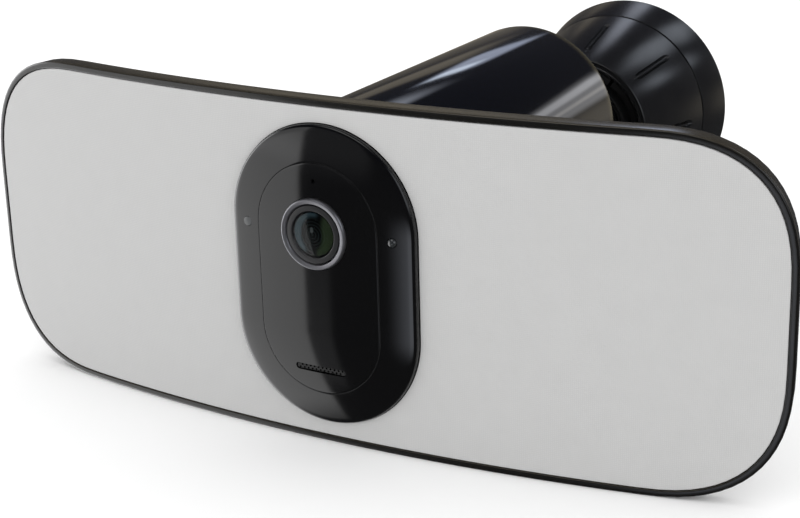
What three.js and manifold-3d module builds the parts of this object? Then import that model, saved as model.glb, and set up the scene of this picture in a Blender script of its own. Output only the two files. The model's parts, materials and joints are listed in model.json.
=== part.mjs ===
// Wall-mounted floodlight security camera, in millimetres, +Z up.
// The origin is the centre of the wall plate's back face. +Y points into the wall, the lamp looks along -Y.
// Head parts are placed in a group whose origin is the middle of the lamp's front surface, so there a part's
// y is its depth behind that surface.
import * as THREE from 'three';
import { mergeVertices } from 'three/addons/utils/BufferGeometryUtils.js';
import Module from 'manifold-3d';

const wasm = await Module();
wasm.setup();

// ---- driving dimensions ----
const TOTAL_DEPTH = 300;          // wall to lamp front
const GAP = 0.3;                  // between pieces that touch or turn

const PANEL_WIDTH = 355;
const PANEL_HEIGHT = 138;
const PANEL_CORNER = 53.8;        // length of a corner along each edge
const CORNER_POWER = 2.56;        // 2 is a circular corner, more is squarer
const BEND_RADIUS = 755;          // the lamp curves about a vertical axis
const LIP = 2.5;                  // dark frame seen round the diffuser
const RIM_DEPTH = 8.5;
const SPINE_INSET = 24;           // the back cover's raised middle starts this far in
const SPINE_DEPTH = 14;

const PILL_STRAIGHT = 20;         // half the straight side of every pill outline
const FACE_RADIUS = 40;           // 80 x 120 face
const SEAM_RADIUS = 26;           // 52 x 92 inner plate
const FACE_EDGE_RISE = 1.6;
const FACE_RISE = 7.5;            // crown of the face in front of the diffuser
const BODY_RADIUS = 42;           // 84 x 124 housing
const BODY_WALL = 2.5;
const BODY_FRONT = 16.6;
const BODY_REAR = 182;
const BODY_FILLET = 4;

const EYE_Z = 19;                 // height of the lens and of the two sensors beside it
const EYE_RADIUS = 14;
const MIC_Z = 39.4;
const SPEAKER_Z = -36;
const SPEAKER_WIDTH = 22.4;
const SPEAKER_HEIGHT = 2.8;
const SENSOR_X = 31.8;
const SENSOR_RADIUS = 1.5;

const BALL_Y = -48;               // ball centre, measured from the wall
const BALL_RADIUS = 20;
const NECK_RADIUS = 8;
const RING_WALL = 2;
const RING_GAP = 0.5;             // between the facets of the nested rings, ball and socket
const RING_OPEN = 62;             // degrees from the neck's axis to a ring's edge

const COLLAR_MOUTH_Y = -65;
const COLLAR_SEAM_Y = -21;
const COLLAR_MOUTH_RADIUS = 35.5;
const COLLAR_SEAM_RADIUS = 48;
const BASE_RADIUS = 52;
const NOTCHES = 8;                // pointed grip notches along the collar's cone

const PILL_SEGMENTS = 32;
const ROUND_SEGMENTS = 24;
const PANEL_COLUMNS = 24;
const SCREW_SEGMENTS = 8;

// ---- finishes ----
const finish = (color, roughness, metalness = 0) =>
  new THREE.MeshStandardMaterial({ color, roughness, metalness });
const GLOSS_BLACK = finish(0x0b0c10, 0.12);
const SATIN_BLACK = finish(0x1c1c1d, 0.45);
const FRAME_BLACK = finish(0x1a1916, 0.35);
const DIFFUSER_WHITE = finish(0xc8c8c8, 0.8);
const RUBBER = finish(0x161616, 0.85);
const TRIM_GREY = finish(0x8a8a92, 0.35, 0.6);
const GLASS = finish(0x3c4a50, 0.03);
const STEEL = finish(0xa8a8aa, 0.3, 1);
const ALUMINIUM = finish(0xb8babd, 0.45, 1);
const BOARD_GREEN = finish(0x1e5a3a, 0.5);
const BOARD_WHITE = finish(0xe6e6e0, 0.5);
const INNER_PLASTIC = finish(0x2b2c2e, 0.6);
const CELL_GREY = finish(0x4a4d52, 0.5);
const BRASS = finish(0xb08d4a, 0.35, 1);

// ---- solids ----

// Turns a closed geometry into a manifold solid, dropping the slivers left at a lathe's poles.
function solid(geometry) {
  const bare = geometry.clone();
  bare.deleteAttribute('normal');
  bare.deleteAttribute('uv');
  const merged = mergeVertices(bare, 1e-4);
  const points = merged.attributes.position.array;
  const faces = [];
  let volume = 0;
  for (let i = 0; i < merged.index.count; i += 3) {
    const [a, b, c] = [0, 1, 2].map((k) => merged.index.getX(i + k));
    if (a === b || b === c || a === c) continue;
    faces.push([a, b, c]);
    const [p, q, r] = [a, b, c].map((k) => new THREE.Vector3().fromArray(points, 3 * k));
    volume += p.dot(q.cross(r));
  }
  const order = volume < 0 ? faces.map(([a, b, c]) => [a, c, b]) : faces;
  return new wasm.Manifold(new wasm.Mesh({
    numProp: 3,
    vertProperties: new Float32Array(points),
    triVerts: new Uint32Array(order.flat()),
  }));
}

const shifted = (geometry, x, y, z) => geometry.clone().translate(x, y, z);
const join = (...pieces) => pieces.reduce((sum, piece) => sum.add(piece));
const cut = (piece, ...tools) => tools.reduce((rest, tool) => rest.subtract(tool), piece);

// Points at equal steps from one value to another.
function steps(from, to, count, at) {
  return Array.from({ length: count + 1 }, (_, i) => at(i === count ? to : from + (to - from) * i / count));
}

// A solid of revolution about Y. Profile points are [radius, y].
function lathe(profile, segments = ROUND_SEGMENTS) {
  const points = profile.map(([radius, y]) => new THREE.Vector2(radius, y));
  return new THREE.LatheGeometry(points, segments);
}

// The same, drawn out up and down into a pill outline with straight sides.
function pill(profile, segments = PILL_SEGMENTS) {
  const geometry = lathe(profile, segments).rotateY(Math.PI / segments);
  const place = geometry.attributes.position;
  for (let i = 0; i < place.count; i += 1) {
    place.setZ(i, place.getZ(i) + Math.sign(place.getZ(i)) * PILL_STRAIGHT);
  }
  return geometry;
}

// Plain plugs and rings: pill-shaped, round, and a box between two corners.
const pillPlug = (radius, y1, y2) => pill([[0, y1], [radius, y1], [radius, y2], [0, y2]]);
const pillRing = (outer, inner, y1, y2) =>
  pill([[inner, y1], [outer, y1], [outer, y2], [inner, y2], [inner, y1]]);
const rod = (radius, y1, y2, segments = 24) =>
  lathe([[0, y1], [radius, y1], [radius, y2], [0, y2]], segments);
const tube = (outer, inner, y1, y2, segments = 28) =>
  lathe([[inner, y1], [outer, y1], [outer, y2], [inner, y2], [inner, y1]], segments);
const block = (x1, x2, y1, y2, z1, z2) =>
  new THREE.BoxGeometry(x2 - x1, y2 - y1, z2 - z1)
    .translate((x1 + x2) / 2, (y1 + y2) / 2, (z1 + z2) / 2);

// Wraps a flat geometry on the lamp's curve: x is kept on the front surface, y becomes the depth behind it.
const bendAngle = (x) => Math.asin(x / BEND_RADIUS);
function bend(geometry) {
  const place = geometry.attributes.position;
  for (let i = 0; i < place.count; i += 1) {
    const angle = bendAngle(place.getX(i));
    const radius = BEND_RADIUS - place.getY(i);
    place.setXYZ(i, radius * Math.sin(angle), BEND_RADIUS - radius * Math.cos(angle), place.getZ(i));
  }
  return geometry;
}

// Half the lamp outline's height at a distance u along it, for an outline moved in by inset.
function halfHeight(u, inset) {
  const corner = PANEL_CORNER - inset;
  const side = PANEL_HEIGHT / 2 - inset;
  const t = (Math.abs(u) - (PANEL_WIDTH / 2 - inset - corner)) / corner;
  if (t <= 0) return side;
  return side - corner + corner * (1 - Math.min(t, 1) ** CORNER_POWER) ** (1 / CORNER_POWER);
}

// A curved slab with the lamp's outline moved in by inset, between two depths behind the front surface.
function slab(inset, y1, y2) {
  const half = PANEL_WIDTH / 2 - inset;
  const geometry = new THREE.BoxGeometry(2, y2 - y1, 2, PANEL_COLUMNS, 1, 1)
    .translate(0, (y1 + y2) / 2, 0);
  const place = geometry.attributes.position;
  for (let i = 0; i < place.count; i += 1) {
    const column = PANEL_WIDTH / 2 * Math.sin(place.getX(i) * Math.PI / 2);   // closer towards the corners
    const u = THREE.MathUtils.clamp(column, -half, half);
    place.setX(i, u);
    place.setZ(i, place.getZ(i) * halfHeight(u, inset));
  }
  return bend(geometry);
}

// A curved block between two distances along the arc, two depths and two heights.
function curvedBlock(u1, u2, y1, y2, z1, z2) {
  const geometry = new THREE.BoxGeometry(u2 - u1, y2 - y1, z2 - z1, 8, 1, 1)
    .translate((u1 + u2) / 2, (y1 + y2) / 2, (z1 + z2) / 2);
  return bend(geometry);
}

// How far the face's crowned surface stands in front of the lamp at a distance from the pill's spine.
const faceRise = (radius) =>
  FACE_EDGE_RISE + (FACE_RISE - FACE_EDGE_RISE) * (1 - (radius / FACE_RADIUS) ** 2);

// ---- scene graph ----
const part = new THREE.Group();
const wallGroup = new THREE.Group();
const headGroup = new THREE.Group();
headGroup.position.set(0, -TOTAL_DEPTH, 0);
part.add(wallGroup, headGroup);

function add(group, name, shape, material, place = [0, 0, 0], turn = [0, 0, 0]) {
  const body = shape.getMesh ? shape : solid(shape);
  const { vertProperties, triVerts } = body.getMesh();
  const geometry = new THREE.BufferGeometry();
  geometry.setAttribute('position', new THREE.BufferAttribute(vertProperties, 3));
  geometry.setIndex(new THREE.BufferAttribute(triVerts, 1));
  geometry.computeVertexNormals();
  const mesh = new THREE.Mesh(geometry, material);
  mesh.name = name;
  mesh.position.set(...place);
  mesh.rotation.set(...turn);
  group.add(mesh);
  return mesh;
}

// Socket-head screw along +Y: the head's top at y = 0, and the shank behind it. And the hole it sits in.
const HEAD_HEIGHT = 1.2;
function screw(headRadius, shankRadius, length) {
  const body = solid(lathe([
    [0, 0], [headRadius, 0], [headRadius, HEAD_HEIGHT],
    [shankRadius, HEAD_HEIGHT], [shankRadius, length], [0, length],
  ], SCREW_SEGMENTS));
  return cut(body, solid(rod(headRadius * 0.5, -1, 0.8, 6)));
}
function screwHole(headRadius, shankRadius, length) {
  return lathe([
    [0, -5], [headRadius + GAP, -5], [headRadius + GAP, HEAD_HEIGHT + GAP],
    [shankRadius + GAP, HEAD_HEIGHT + GAP], [shankRadius + GAP, length + GAP], [0, length + GAP],
  ], SCREW_SEGMENTS);
}

// ---- wall mount ----
const PLATE_RADIUS = 47;
const PLATE_DEPTH = 4;
const WALL_HOLE_PITCH = 34;
const BASE_WALL = 4;
const BASE_FLOOR_Y = -8;
const BASE_FLOOR = 3;
const POST_RADIUS = 29;
const POST_BACK_Y = BASE_FLOOR_Y - BASE_FLOOR - GAP;
const POST_FRONT_Y = BALL_Y - 8;
const SOCKET_RADIUS = BALL_RADIUS + 2 * (RING_GAP + RING_WALL) + RING_GAP;
const BOLT_RADIUS = 2.6;

{
  const holes = [90, 210, 330].map((degrees) => {
    const angle = THREE.MathUtils.degToRad(degrees);
    const hole = lathe([[0, -9], [4.6, -9], [4.6, -3], [2.4, -1.2], [2.4, 5], [0, 5]], 12);
    return solid(shifted(hole, WALL_HOLE_PITCH * Math.cos(angle), 0, WALL_HOLE_PITCH * Math.sin(angle)));
  });
  add(wallGroup, 'wall_plate', cut(solid(rod(PLATE_RADIUS, -PLATE_DEPTH, 0, 40)), ...holes), STEEL);
}

// The base is a flared skirt that hides the plate, with a floor that the post is bolted to.
{
  const wallInside = COLLAR_SEAM_RADIUS - BASE_WALL;
  const skirt = solid(lathe([
    [0, BASE_FLOOR_Y - BASE_FLOOR], [wallInside, BASE_FLOOR_Y - BASE_FLOOR],
    [wallInside, COLLAR_SEAM_Y + 1], [wallInside + 0.7, COLLAR_SEAM_Y + GAP],
    [COLLAR_SEAM_RADIUS - 0.4, COLLAR_SEAM_Y + GAP], [COLLAR_SEAM_RADIUS + 0.2, COLLAR_SEAM_Y + 0.9],
    [BASE_RADIUS - 0.5, -1.4], [BASE_RADIUS, -0.6], [BASE_RADIUS - 0.6, 0], [BASE_RADIUS - 2.6, 0],
    [COLLAR_SEAM_RADIUS, BASE_FLOOR_Y], [0, BASE_FLOOR_Y],
  ], 36));
  const boltHole = solid(rod(BOLT_RADIUS + GAP, -20, 0, 20));
  const lockHole = solid(rod(2, -60, 0, 16).rotateX(Math.PI / 2).translate(0, -3.2, 0));
  add(wallGroup, 'mount_base', cut(skirt, boltHole, lockHole), SATIN_BLACK);
  add(wallGroup, 'base_lock_screw', rod(1.7, 0, 4.2, 12), STEEL, [0, -3.2, -PLATE_RADIUS - 0.4],
    [-Math.PI / 2, 0, 0]);
}

// The post carries the spherical socket, split into fingers that the collar closes on the ball.
{
  const lip = Math.asin((BALL_Y - POST_FRONT_Y) / SOCKET_RADIUS);
  const bowl = steps(-Math.PI / 4, lip, 5, (angle) =>
    [SOCKET_RADIUS * Math.cos(angle), BALL_Y - SOCKET_RADIUS * Math.sin(angle)]);
  const bottom = BALL_Y + 28;
  const post = solid(lathe([
    [0, bottom], [bowl[0][0], bottom], ...bowl, [POST_RADIUS - 1.5, POST_FRONT_Y],
    [POST_RADIUS, POST_FRONT_Y + 1.5], [POST_RADIUS, POST_BACK_Y], [0, POST_BACK_Y],
  ]));
  const pilot = solid(rod(BOLT_RADIUS + GAP, bottom + 1.6, 0, 20));
  const slitDepth = 16;
  const slits = [0, 60, 120, 180, 240, 300].map((degrees) =>
    solid(block(SOCKET_RADIUS - 6, POST_RADIUS + 2, POST_FRONT_Y - 2, POST_FRONT_Y + slitDepth, -0.75, 0.75)
      .rotateY(THREE.MathUtils.degToRad(degrees))));
  add(wallGroup, 'socket_post', cut(post, pilot, ...slits), INNER_PLASTIC);
}
{
  const bolt = lathe([
    [0, -16.5], [BOLT_RADIUS, -16.5], [BOLT_RADIUS, BASE_FLOOR_Y + GAP], [5, BASE_FLOOR_Y + GAP],
    [5, BASE_FLOOR_Y + 3], [0, BASE_FLOOR_Y + 3],
  ], 20);
  add(wallGroup, 'post_bolt', bolt, STEEL);
}

// ---- clamp collar ----
{
  const bore = POST_RADIUS + 0.4;
  const threadEnd = COLLAR_SEAM_Y - 14;
  const collar = solid(lathe([
    [bore, threadEnd], [bore, POST_FRONT_Y - 0.6], [bore - 1.8, POST_FRONT_Y - 1.6],
    [31.4, COLLAR_MOUTH_Y + 1.4], [33, COLLAR_MOUTH_Y + 0.2], [34.4, COLLAR_MOUTH_Y],
    [COLLAR_MOUTH_RADIUS, COLLAR_MOUTH_Y + 1.2],
    [COLLAR_SEAM_RADIUS - 0.3, COLLAR_SEAM_Y - 0.8], [COLLAR_SEAM_RADIUS - 0.9, COLLAR_SEAM_Y],
    [COLLAR_SEAM_RADIUS - 3, COLLAR_SEAM_Y], [bore + 3.6, threadEnd], [bore, threadEnd],
  ], 36));
  const slope = Math.atan2(COLLAR_SEAM_RADIUS - COLLAR_MOUTH_RADIUS, COLLAR_SEAM_Y - COLLAR_MOUTH_Y);
  const notchY = (COLLAR_SEAM_Y + COLLAR_MOUTH_Y) / 2;
  const notchRadius = COLLAR_SEAM_RADIUS + (notchY - COLLAR_SEAM_Y) * Math.tan(slope) + 0.6;
  const notches = [];
  for (let i = 0; i < NOTCHES; i += 1) {
    const spindle = lathe([[0, -16.5], [2.2, -12], [2.2, 11], [0, 14.5]], 6)
      .rotateZ(-slope).translate(notchRadius, notchY, 0).rotateY(i * 2 * Math.PI / NOTCHES);
    notches.push(solid(spindle));
  }
  add(wallGroup, 'clamp_collar', cut(collar, ...notches), SATIN_BLACK);
}

// ---- ball joint rings: two zones of a sphere nested round the ball ----
function ballRing(name, inside, material) {
  const outside = inside + RING_WALL;
  const open = THREE.MathUtils.degToRad(RING_OPEN);
  const arc = (radius, from, to) =>
    steps(from, to, 5, (angle) => [radius * Math.sin(angle), -radius * Math.cos(angle)]);
  const outline = [...arc(outside, open, Math.PI - open), ...arc(inside, Math.PI - open, open)];
  add(wallGroup, name, lathe([...outline, outline[0]], 24), material, [0, BALL_Y, 0]);
}
ballRing('tilt_ring', BALL_RADIUS + RING_GAP, INNER_PLASTIC);
ballRing('pan_ring', BALL_RADIUS + RING_WALL + 2 * RING_GAP, INNER_PLASTIC);

// ---- housing behind the lamp ----
const REAR_WALL = 4;
const STUD_RADIUS = 6;
const BODY_INSIDE = BODY_RADIUS - BODY_WALL;
const BODY_FLOOR_Z = -PILL_STRAIGHT - BODY_INSIDE;
const BUTTON_Y = 148;
const BUTTON_HALF = [8, 6];       // across and along the housing
const BRACKET_SCREW_Y = BUTTON_Y - 14;
const BRACKET_SCREWS = [-6.2, 6.2];
{
  const fillet = (radius, size, y) => steps(0, Math.PI / 2, 4, (angle) =>
    [radius - size * (1 - Math.cos(angle)), y - size * (1 - Math.sin(angle))]);
  const shell = solid(pill([
    [BODY_INSIDE, BODY_FRONT], [BODY_RADIUS - 0.8, BODY_FRONT], [BODY_RADIUS, BODY_FRONT + 0.8],
    ...fillet(BODY_RADIUS, BODY_FILLET, BODY_REAR), [0, BODY_REAR], [0, BODY_REAR - REAR_WALL],
    ...fillet(BODY_INSIDE, BODY_FILLET - BODY_WALL, BODY_REAR - REAR_WALL).reverse(),
    [BODY_INSIDE, BODY_FRONT],
  ]));
  const studHole = solid(rod(STUD_RADIUS + GAP, BODY_REAR - 10, BODY_REAR + 5));
  const [across, along] = BUTTON_HALF.map((half) => half + GAP);
  const buttonHole = solid(block(-across, across, BUTTON_Y - along, BUTTON_Y + along, -66, -56));
  const screwHoles = BRACKET_SCREWS.map((x) => solid(screwHole(2.4, 1.2, 6.4).rotateX(Math.PI / 2)
    .translate(x, BRACKET_SCREW_Y, BODY_FLOOR_Z - BODY_WALL + 0.6)));
  add(headGroup, 'housing_shell', cut(shell, studHole, buttonHole, ...screwHoles), GLOSS_BLACK);
}

// Ball, neck and threaded end in one turned piece. Its flange is outside the rear wall and its nut inside.
{
  const ballY = TOTAL_DEPTH + BALL_Y;
  const flangeY = BODY_REAR + 2.4;
  const neckAngle = Math.asin(NECK_RADIUS / BALL_RADIUS);
  const ball = steps(neckAngle, Math.PI, 8, (angle) =>
    [angle === Math.PI ? 0 : BALL_RADIUS * Math.sin(angle), ballY - BALL_RADIUS * Math.cos(angle)]);
  const stud = lathe([
    [0, BODY_REAR - 13], [STUD_RADIUS - 1, BODY_REAR - 13], [STUD_RADIUS, BODY_REAR - 12],
    [STUD_RADIUS, flangeY], [17, flangeY], [18, flangeY + 1], [18, flangeY + 3.5], [13, flangeY + 6],
    [9.6, flangeY + 11], [NECK_RADIUS, flangeY + 18], ...ball,
  ], 24);
  add(headGroup, 'ball_stud', stud, SATIN_BLACK);
  add(headGroup, 'stud_washer', tube(19.5, STUD_RADIUS + GAP, BODY_REAR + GAP, flangeY - GAP, 28), RUBBER);
  const nutY = BODY_REAR - REAR_WALL - GAP - 3;
  const nut = solid(new THREE.CylinderGeometry(10, 10, 6, 6).translate(0, nutY, 0));
  add(headGroup, 'stud_nut', cut(nut, solid(rod(STUD_RADIUS + GAP, 150, 190))), STEEL);
}

// Release button under the housing, in a bracket that holds its spring.
{
  const top = BODY_FLOOR_Z + 11;
  const [across, along] = BUTTON_HALF;
  const outside = solid(block(-across - 3.4, across + 3.4, BUTTON_Y - along - 2.6, BUTTON_Y + along + 2.6,
    BODY_FLOOR_Z + 1.9, top));
  const tab = solid(block(-10, 10, BUTTON_Y - along - 12, BUTTON_Y - along - 2, BODY_FLOOR_Z + 1.9,
    BODY_FLOOR_Z + 4.4));
  const well = solid(block(-across - 1, across + 1, BUTTON_Y - along - 1, BUTTON_Y + along + 1,
    BODY_FLOOR_Z - 1, top - 1.8));
  const pilots = BRACKET_SCREWS.map((x) =>
    solid(rod(1.5, 50, 70, 12).rotateX(-Math.PI / 2).translate(x, BRACKET_SCREW_Y, 0)));
  add(headGroup, 'release_bracket', cut(join(outside, tab), well, ...pilots), INNER_PLASTIC);

  const button = join(
    solid(block(-across, across, BUTTON_Y - along, BUTTON_Y + along, BODY_FLOOR_Z - 3, BODY_FLOOR_Z + 2.2)),
    solid(block(-across - 0.6, across + 0.6, BUTTON_Y - along - 0.6, BUTTON_Y + along + 0.6,
      BODY_FLOOR_Z + 1.2, BODY_FLOOR_Z + 3)));
  const grooves = [-3, 0, 3].map((y) => solid(new THREE.CylinderGeometry(0.6, 0.6, 11, 10)
    .rotateZ(Math.PI / 2).translate(0, BUTTON_Y + y, BODY_FLOOR_Z - 3)));
  add(headGroup, 'release_button', cut(button, ...grooves), SATIN_BLACK);

  class Helix extends THREE.Curve {
    getPoint(t, target = new THREE.Vector3()) {
      const angle = t * 3 * 2 * Math.PI;
      return target.set(3.4 * Math.cos(angle), 3.4 * Math.sin(angle), t * 4.3);
    }
  }
  const wire = new THREE.Shape().absarc(0, 0, 0.4, 0, 2 * Math.PI, false);
  const spring = new THREE.ExtrudeGeometry(wire, { steps: 42, curveSegments: 3, extrudePath: new Helix() });
  add(headGroup, 'release_spring', spring, STEEL, [0, BUTTON_Y, BODY_FLOOR_Z + 3.9]);
  for (const [i, x] of BRACKET_SCREWS.entries()) {
    add(headGroup, `bracket_screw_${i + 1}`, screw(2.4, 1.2, 6.4), STEEL,
      [x, BRACKET_SCREW_Y, BODY_FLOOR_Z - BODY_WALL + 0.6], [Math.PI / 2, 0, 0]);
  }
}

// ---- lamp ----
const DIFFUSER_BACK = 2.2;
const LEDGE_BACK = 4.6;
const COVER_FRONT = 6.2;
const COVER_WALL = 2.4;
const SCREW_SINK = 0.2;           // head below the surface it sits in
const CORE_RADIUS = 34;
const CHARGE_PORT = { x: 92, z: -22, across: 11, up: 6 };
const SYNC_BUTTON = { x: 62, z: 22, radius: 3.8 };
const coverScrews = [-1, 1].flatMap((side) =>
  [-118, -58, 58, 118].map((x) => [x, side * (PANEL_HEIGHT / 2 - 9.5)]));

// Where a point on the lamp's curve lies at a depth, and a geometry stood on it with +Y along the depth.
function onCurve(x, depth) {
  const angle = bendAngle(x);
  const radius = BEND_RADIUS - depth;
  return [radius * Math.sin(angle), BEND_RADIUS - radius * Math.cos(angle), angle];
}
function stood(geometry, x, z, depth) {
  const [px, py, angle] = onCurve(x, depth);
  return geometry.clone().rotateZ(angle).translate(px, py, z);
}

{
  const ring = cut(solid(slab(0, 0, RIM_DEPTH)), solid(slab(LIP + 3, -3, RIM_DEPTH + 3)),
    solid(slab(LIP, -3, DIFFUSER_BACK + GAP)), solid(slab(LIP, LEDGE_BACK, RIM_DEPTH + 3)));
  const boss = rod(5, DIFFUSER_BACK + GAP, COVER_FRONT - GAP, 10);
  const pilot = rod(1.5, 3.4, 9, SCREW_SEGMENTS);
  const bosses = coverScrews.map(([x, z]) => solid(stood(boss, x, z, 0)));
  const pilots = coverScrews.map(([x, z]) => solid(stood(pilot, x, z, 0)));
  const inside = solid(slab(LIP + 0.1, -3, RIM_DEPTH + 3));
  const kept = bosses.map((piece) => piece.intersect(inside));
  add(headGroup, 'light_frame', cut(join(ring, ...kept), ...pilots), FRAME_BLACK);

  const facePocket = solid(pillPlug(FACE_RADIUS + GAP, -30, 60));
  add(headGroup, 'diffuser', cut(solid(slab(LIP + GAP, 0.1, DIFFUSER_BACK)), facePocket), DIFFUSER_WHITE);

  const seal = cut(solid(slab(LIP + GAP, LEDGE_BACK + GAP, COVER_FRONT - GAP)), solid(slab(LIP + 1.6, 3, 8)));
  add(headGroup, 'panel_seal', seal, RUBBER);
}

// Back cover: a thin rim, a deeper middle, and a pill neck that the housing butts against.
{
  const rim = solid(slab(LIP + GAP, COVER_FRONT, RIM_DEPTH));
  const spine = solid(slab(SPINE_INSET, COVER_FRONT, SPINE_DEPTH));
  const neck = solid(pillPlug(BODY_RADIUS, RIM_DEPTH - 1, BODY_FRONT - 1));
  const hollow = solid(slab(SPINE_INSET + 2.5, 0, SPINE_DEPTH - COVER_WALL));
  const opening = solid(pillPlug(CORE_RADIUS + GAP, 0, 40));
  const sinks = coverScrews.map(([x, z]) =>
    solid(stood(screwHole(2.4, 1.2, 8).rotateX(Math.PI), x, z, RIM_DEPTH - SCREW_SINK)));
  const { across, up } = CHARGE_PORT;
  const portHole = solid(stood(block(-across - GAP, across + GAP, -8, 4, -up - GAP, up + GAP),
    CHARGE_PORT.x, CHARGE_PORT.z, SPINE_DEPTH));
  const syncHole = solid(stood(rod(SYNC_BUTTON.radius + GAP, -8, 4, 20), SYNC_BUTTON.x, SYNC_BUTTON.z,
    SPINE_DEPTH));
  add(headGroup, 'back_cover',
    cut(join(rim, spine, neck), hollow, opening, portHole, syncHole, ...sinks), SATIN_BLACK);
}
for (const [i, [x, z]] of coverScrews.entries()) {
  const [px, py, angle] = onCurve(x, RIM_DEPTH - SCREW_SINK);
  add(headGroup, `cover_screw_${i + 1}`, screw(2.4, 1.2, 4.6), STEEL, [px, py, z], [0, 0, angle + Math.PI]);
}
add(headGroup, 'housing_seal', pillRing(BODY_RADIUS - 0.6, BODY_INSIDE + 0.4, BODY_FRONT - 1 + GAP,
  BODY_FRONT - GAP), RUBBER);

// Lighting on each side: an aluminium spreader, a board carrying two rows of emitters, and a white tray.
const LIGHT_NEAR = 48;
const LIGHT_FAR = 140;
const LIGHT_HALF = 30;
const EMITTERS = 8;
for (const [side, sign] of [['left', -1], ['right', 1]]) {
  const [x1, x2] = [LIGHT_NEAR * sign, LIGHT_FAR * sign].sort((a, b) => a - b);
  const strip = (y1, y2, half) => solid(curvedBlock(x1 + 1, x2 - 1, y1, y2, -half, half));
  const reliefs = sign < 0 ? [] : [
    solid(stood(block(-14, 14, -14, 4, -9, 9), CHARGE_PORT.x, CHARGE_PORT.z, SPINE_DEPTH)),
    solid(stood(rod(7, -14, 4, 20), SYNC_BUTTON.x, SYNC_BUTTON.z, SPINE_DEPTH))];
  add(headGroup, `heat_spreader_${side}`, cut(strip(9.9, 11.2, LIGHT_HALF), ...reliefs), ALUMINIUM);
  const emitters = [];
  for (let i = 0; i < EMITTERS; i += 1) {
    const x = sign * (LIGHT_NEAR + 7 + i * 11);
    for (const z of [-6, 6]) {
      emitters.push(solid(stood(block(-2.5, 2.5, -0.8, 0.4, -2.5, 2.5), x, z, 8.2)));
    }
  }
  const board = join(strip(8.2, 9.6, LIGHT_HALF), ...emitters);
  add(headGroup, `led_board_${side}`, cut(board, ...reliefs), BOARD_WHITE);
  add(headGroup, `reflector_${side}`, cut(
    solid(curvedBlock(x1, x2, 2.8, 7.8, -LIGHT_HALF - 1, LIGHT_HALF + 1)),
    solid(curvedBlock(x1 + 1.4, x2 - 1.4, 2, 9, -LIGHT_HALF + 0.4, LIGHT_HALF - 0.4))), BOARD_WHITE);
}

// Charging port with its hinged cover, and the pairing button, both on the lamp's back.
{
  const { x, z, across, up } = CHARGE_PORT;
  const [px, py, angle] = onCurve(x, SPINE_DEPTH);
  const socket = join(
    solid(block(-across, across, -5.4, -3.2, -up, up)),
    solid(block(-across - 2, across + 2, -5.4, -COVER_WALL - GAP, -up - 2, up + 2)));
  const well = solid(block(-across + 1.2, across - 1.2, -4, 0, -up + 1.2, up - 1.2));
  const pins = [-4, 0, 4].map((at) => solid(rod(0.9, -4.4, -2.9, 12).translate(at, 0, 0)));
  add(headGroup, 'charge_port', join(cut(socket, well), ...pins), INNER_PLASTIC, [px, py, z], [0, 0, angle]);
  const flap = solid(block(-across, across, -1.9, -0.1, -up, up));
  const pull = solid(block(-2.2, 2.2, -0.7, 1, -up + 0.4, -up + 1.4));
  add(headGroup, 'port_cover', cut(flap, pull), RUBBER, [px, py, z], [0, 0, angle]);

  const [sx, sy, turn] = onCurve(SYNC_BUTTON.x, SPINE_DEPTH);
  const cap = lathe([
    [0, -5], [5.4, -5], [5.4, -COVER_WALL - GAP], [SYNC_BUTTON.radius, -COVER_WALL - GAP],
    [SYNC_BUTTON.radius, 0.8], [SYNC_BUTTON.radius - 0.5, 1.2], [0, 1.2],
  ], 24);
  add(headGroup, 'sync_button', cap, SATIN_BLACK, [sx, sy, SYNC_BUTTON.z], [0, 0, turn]);
}

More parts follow.
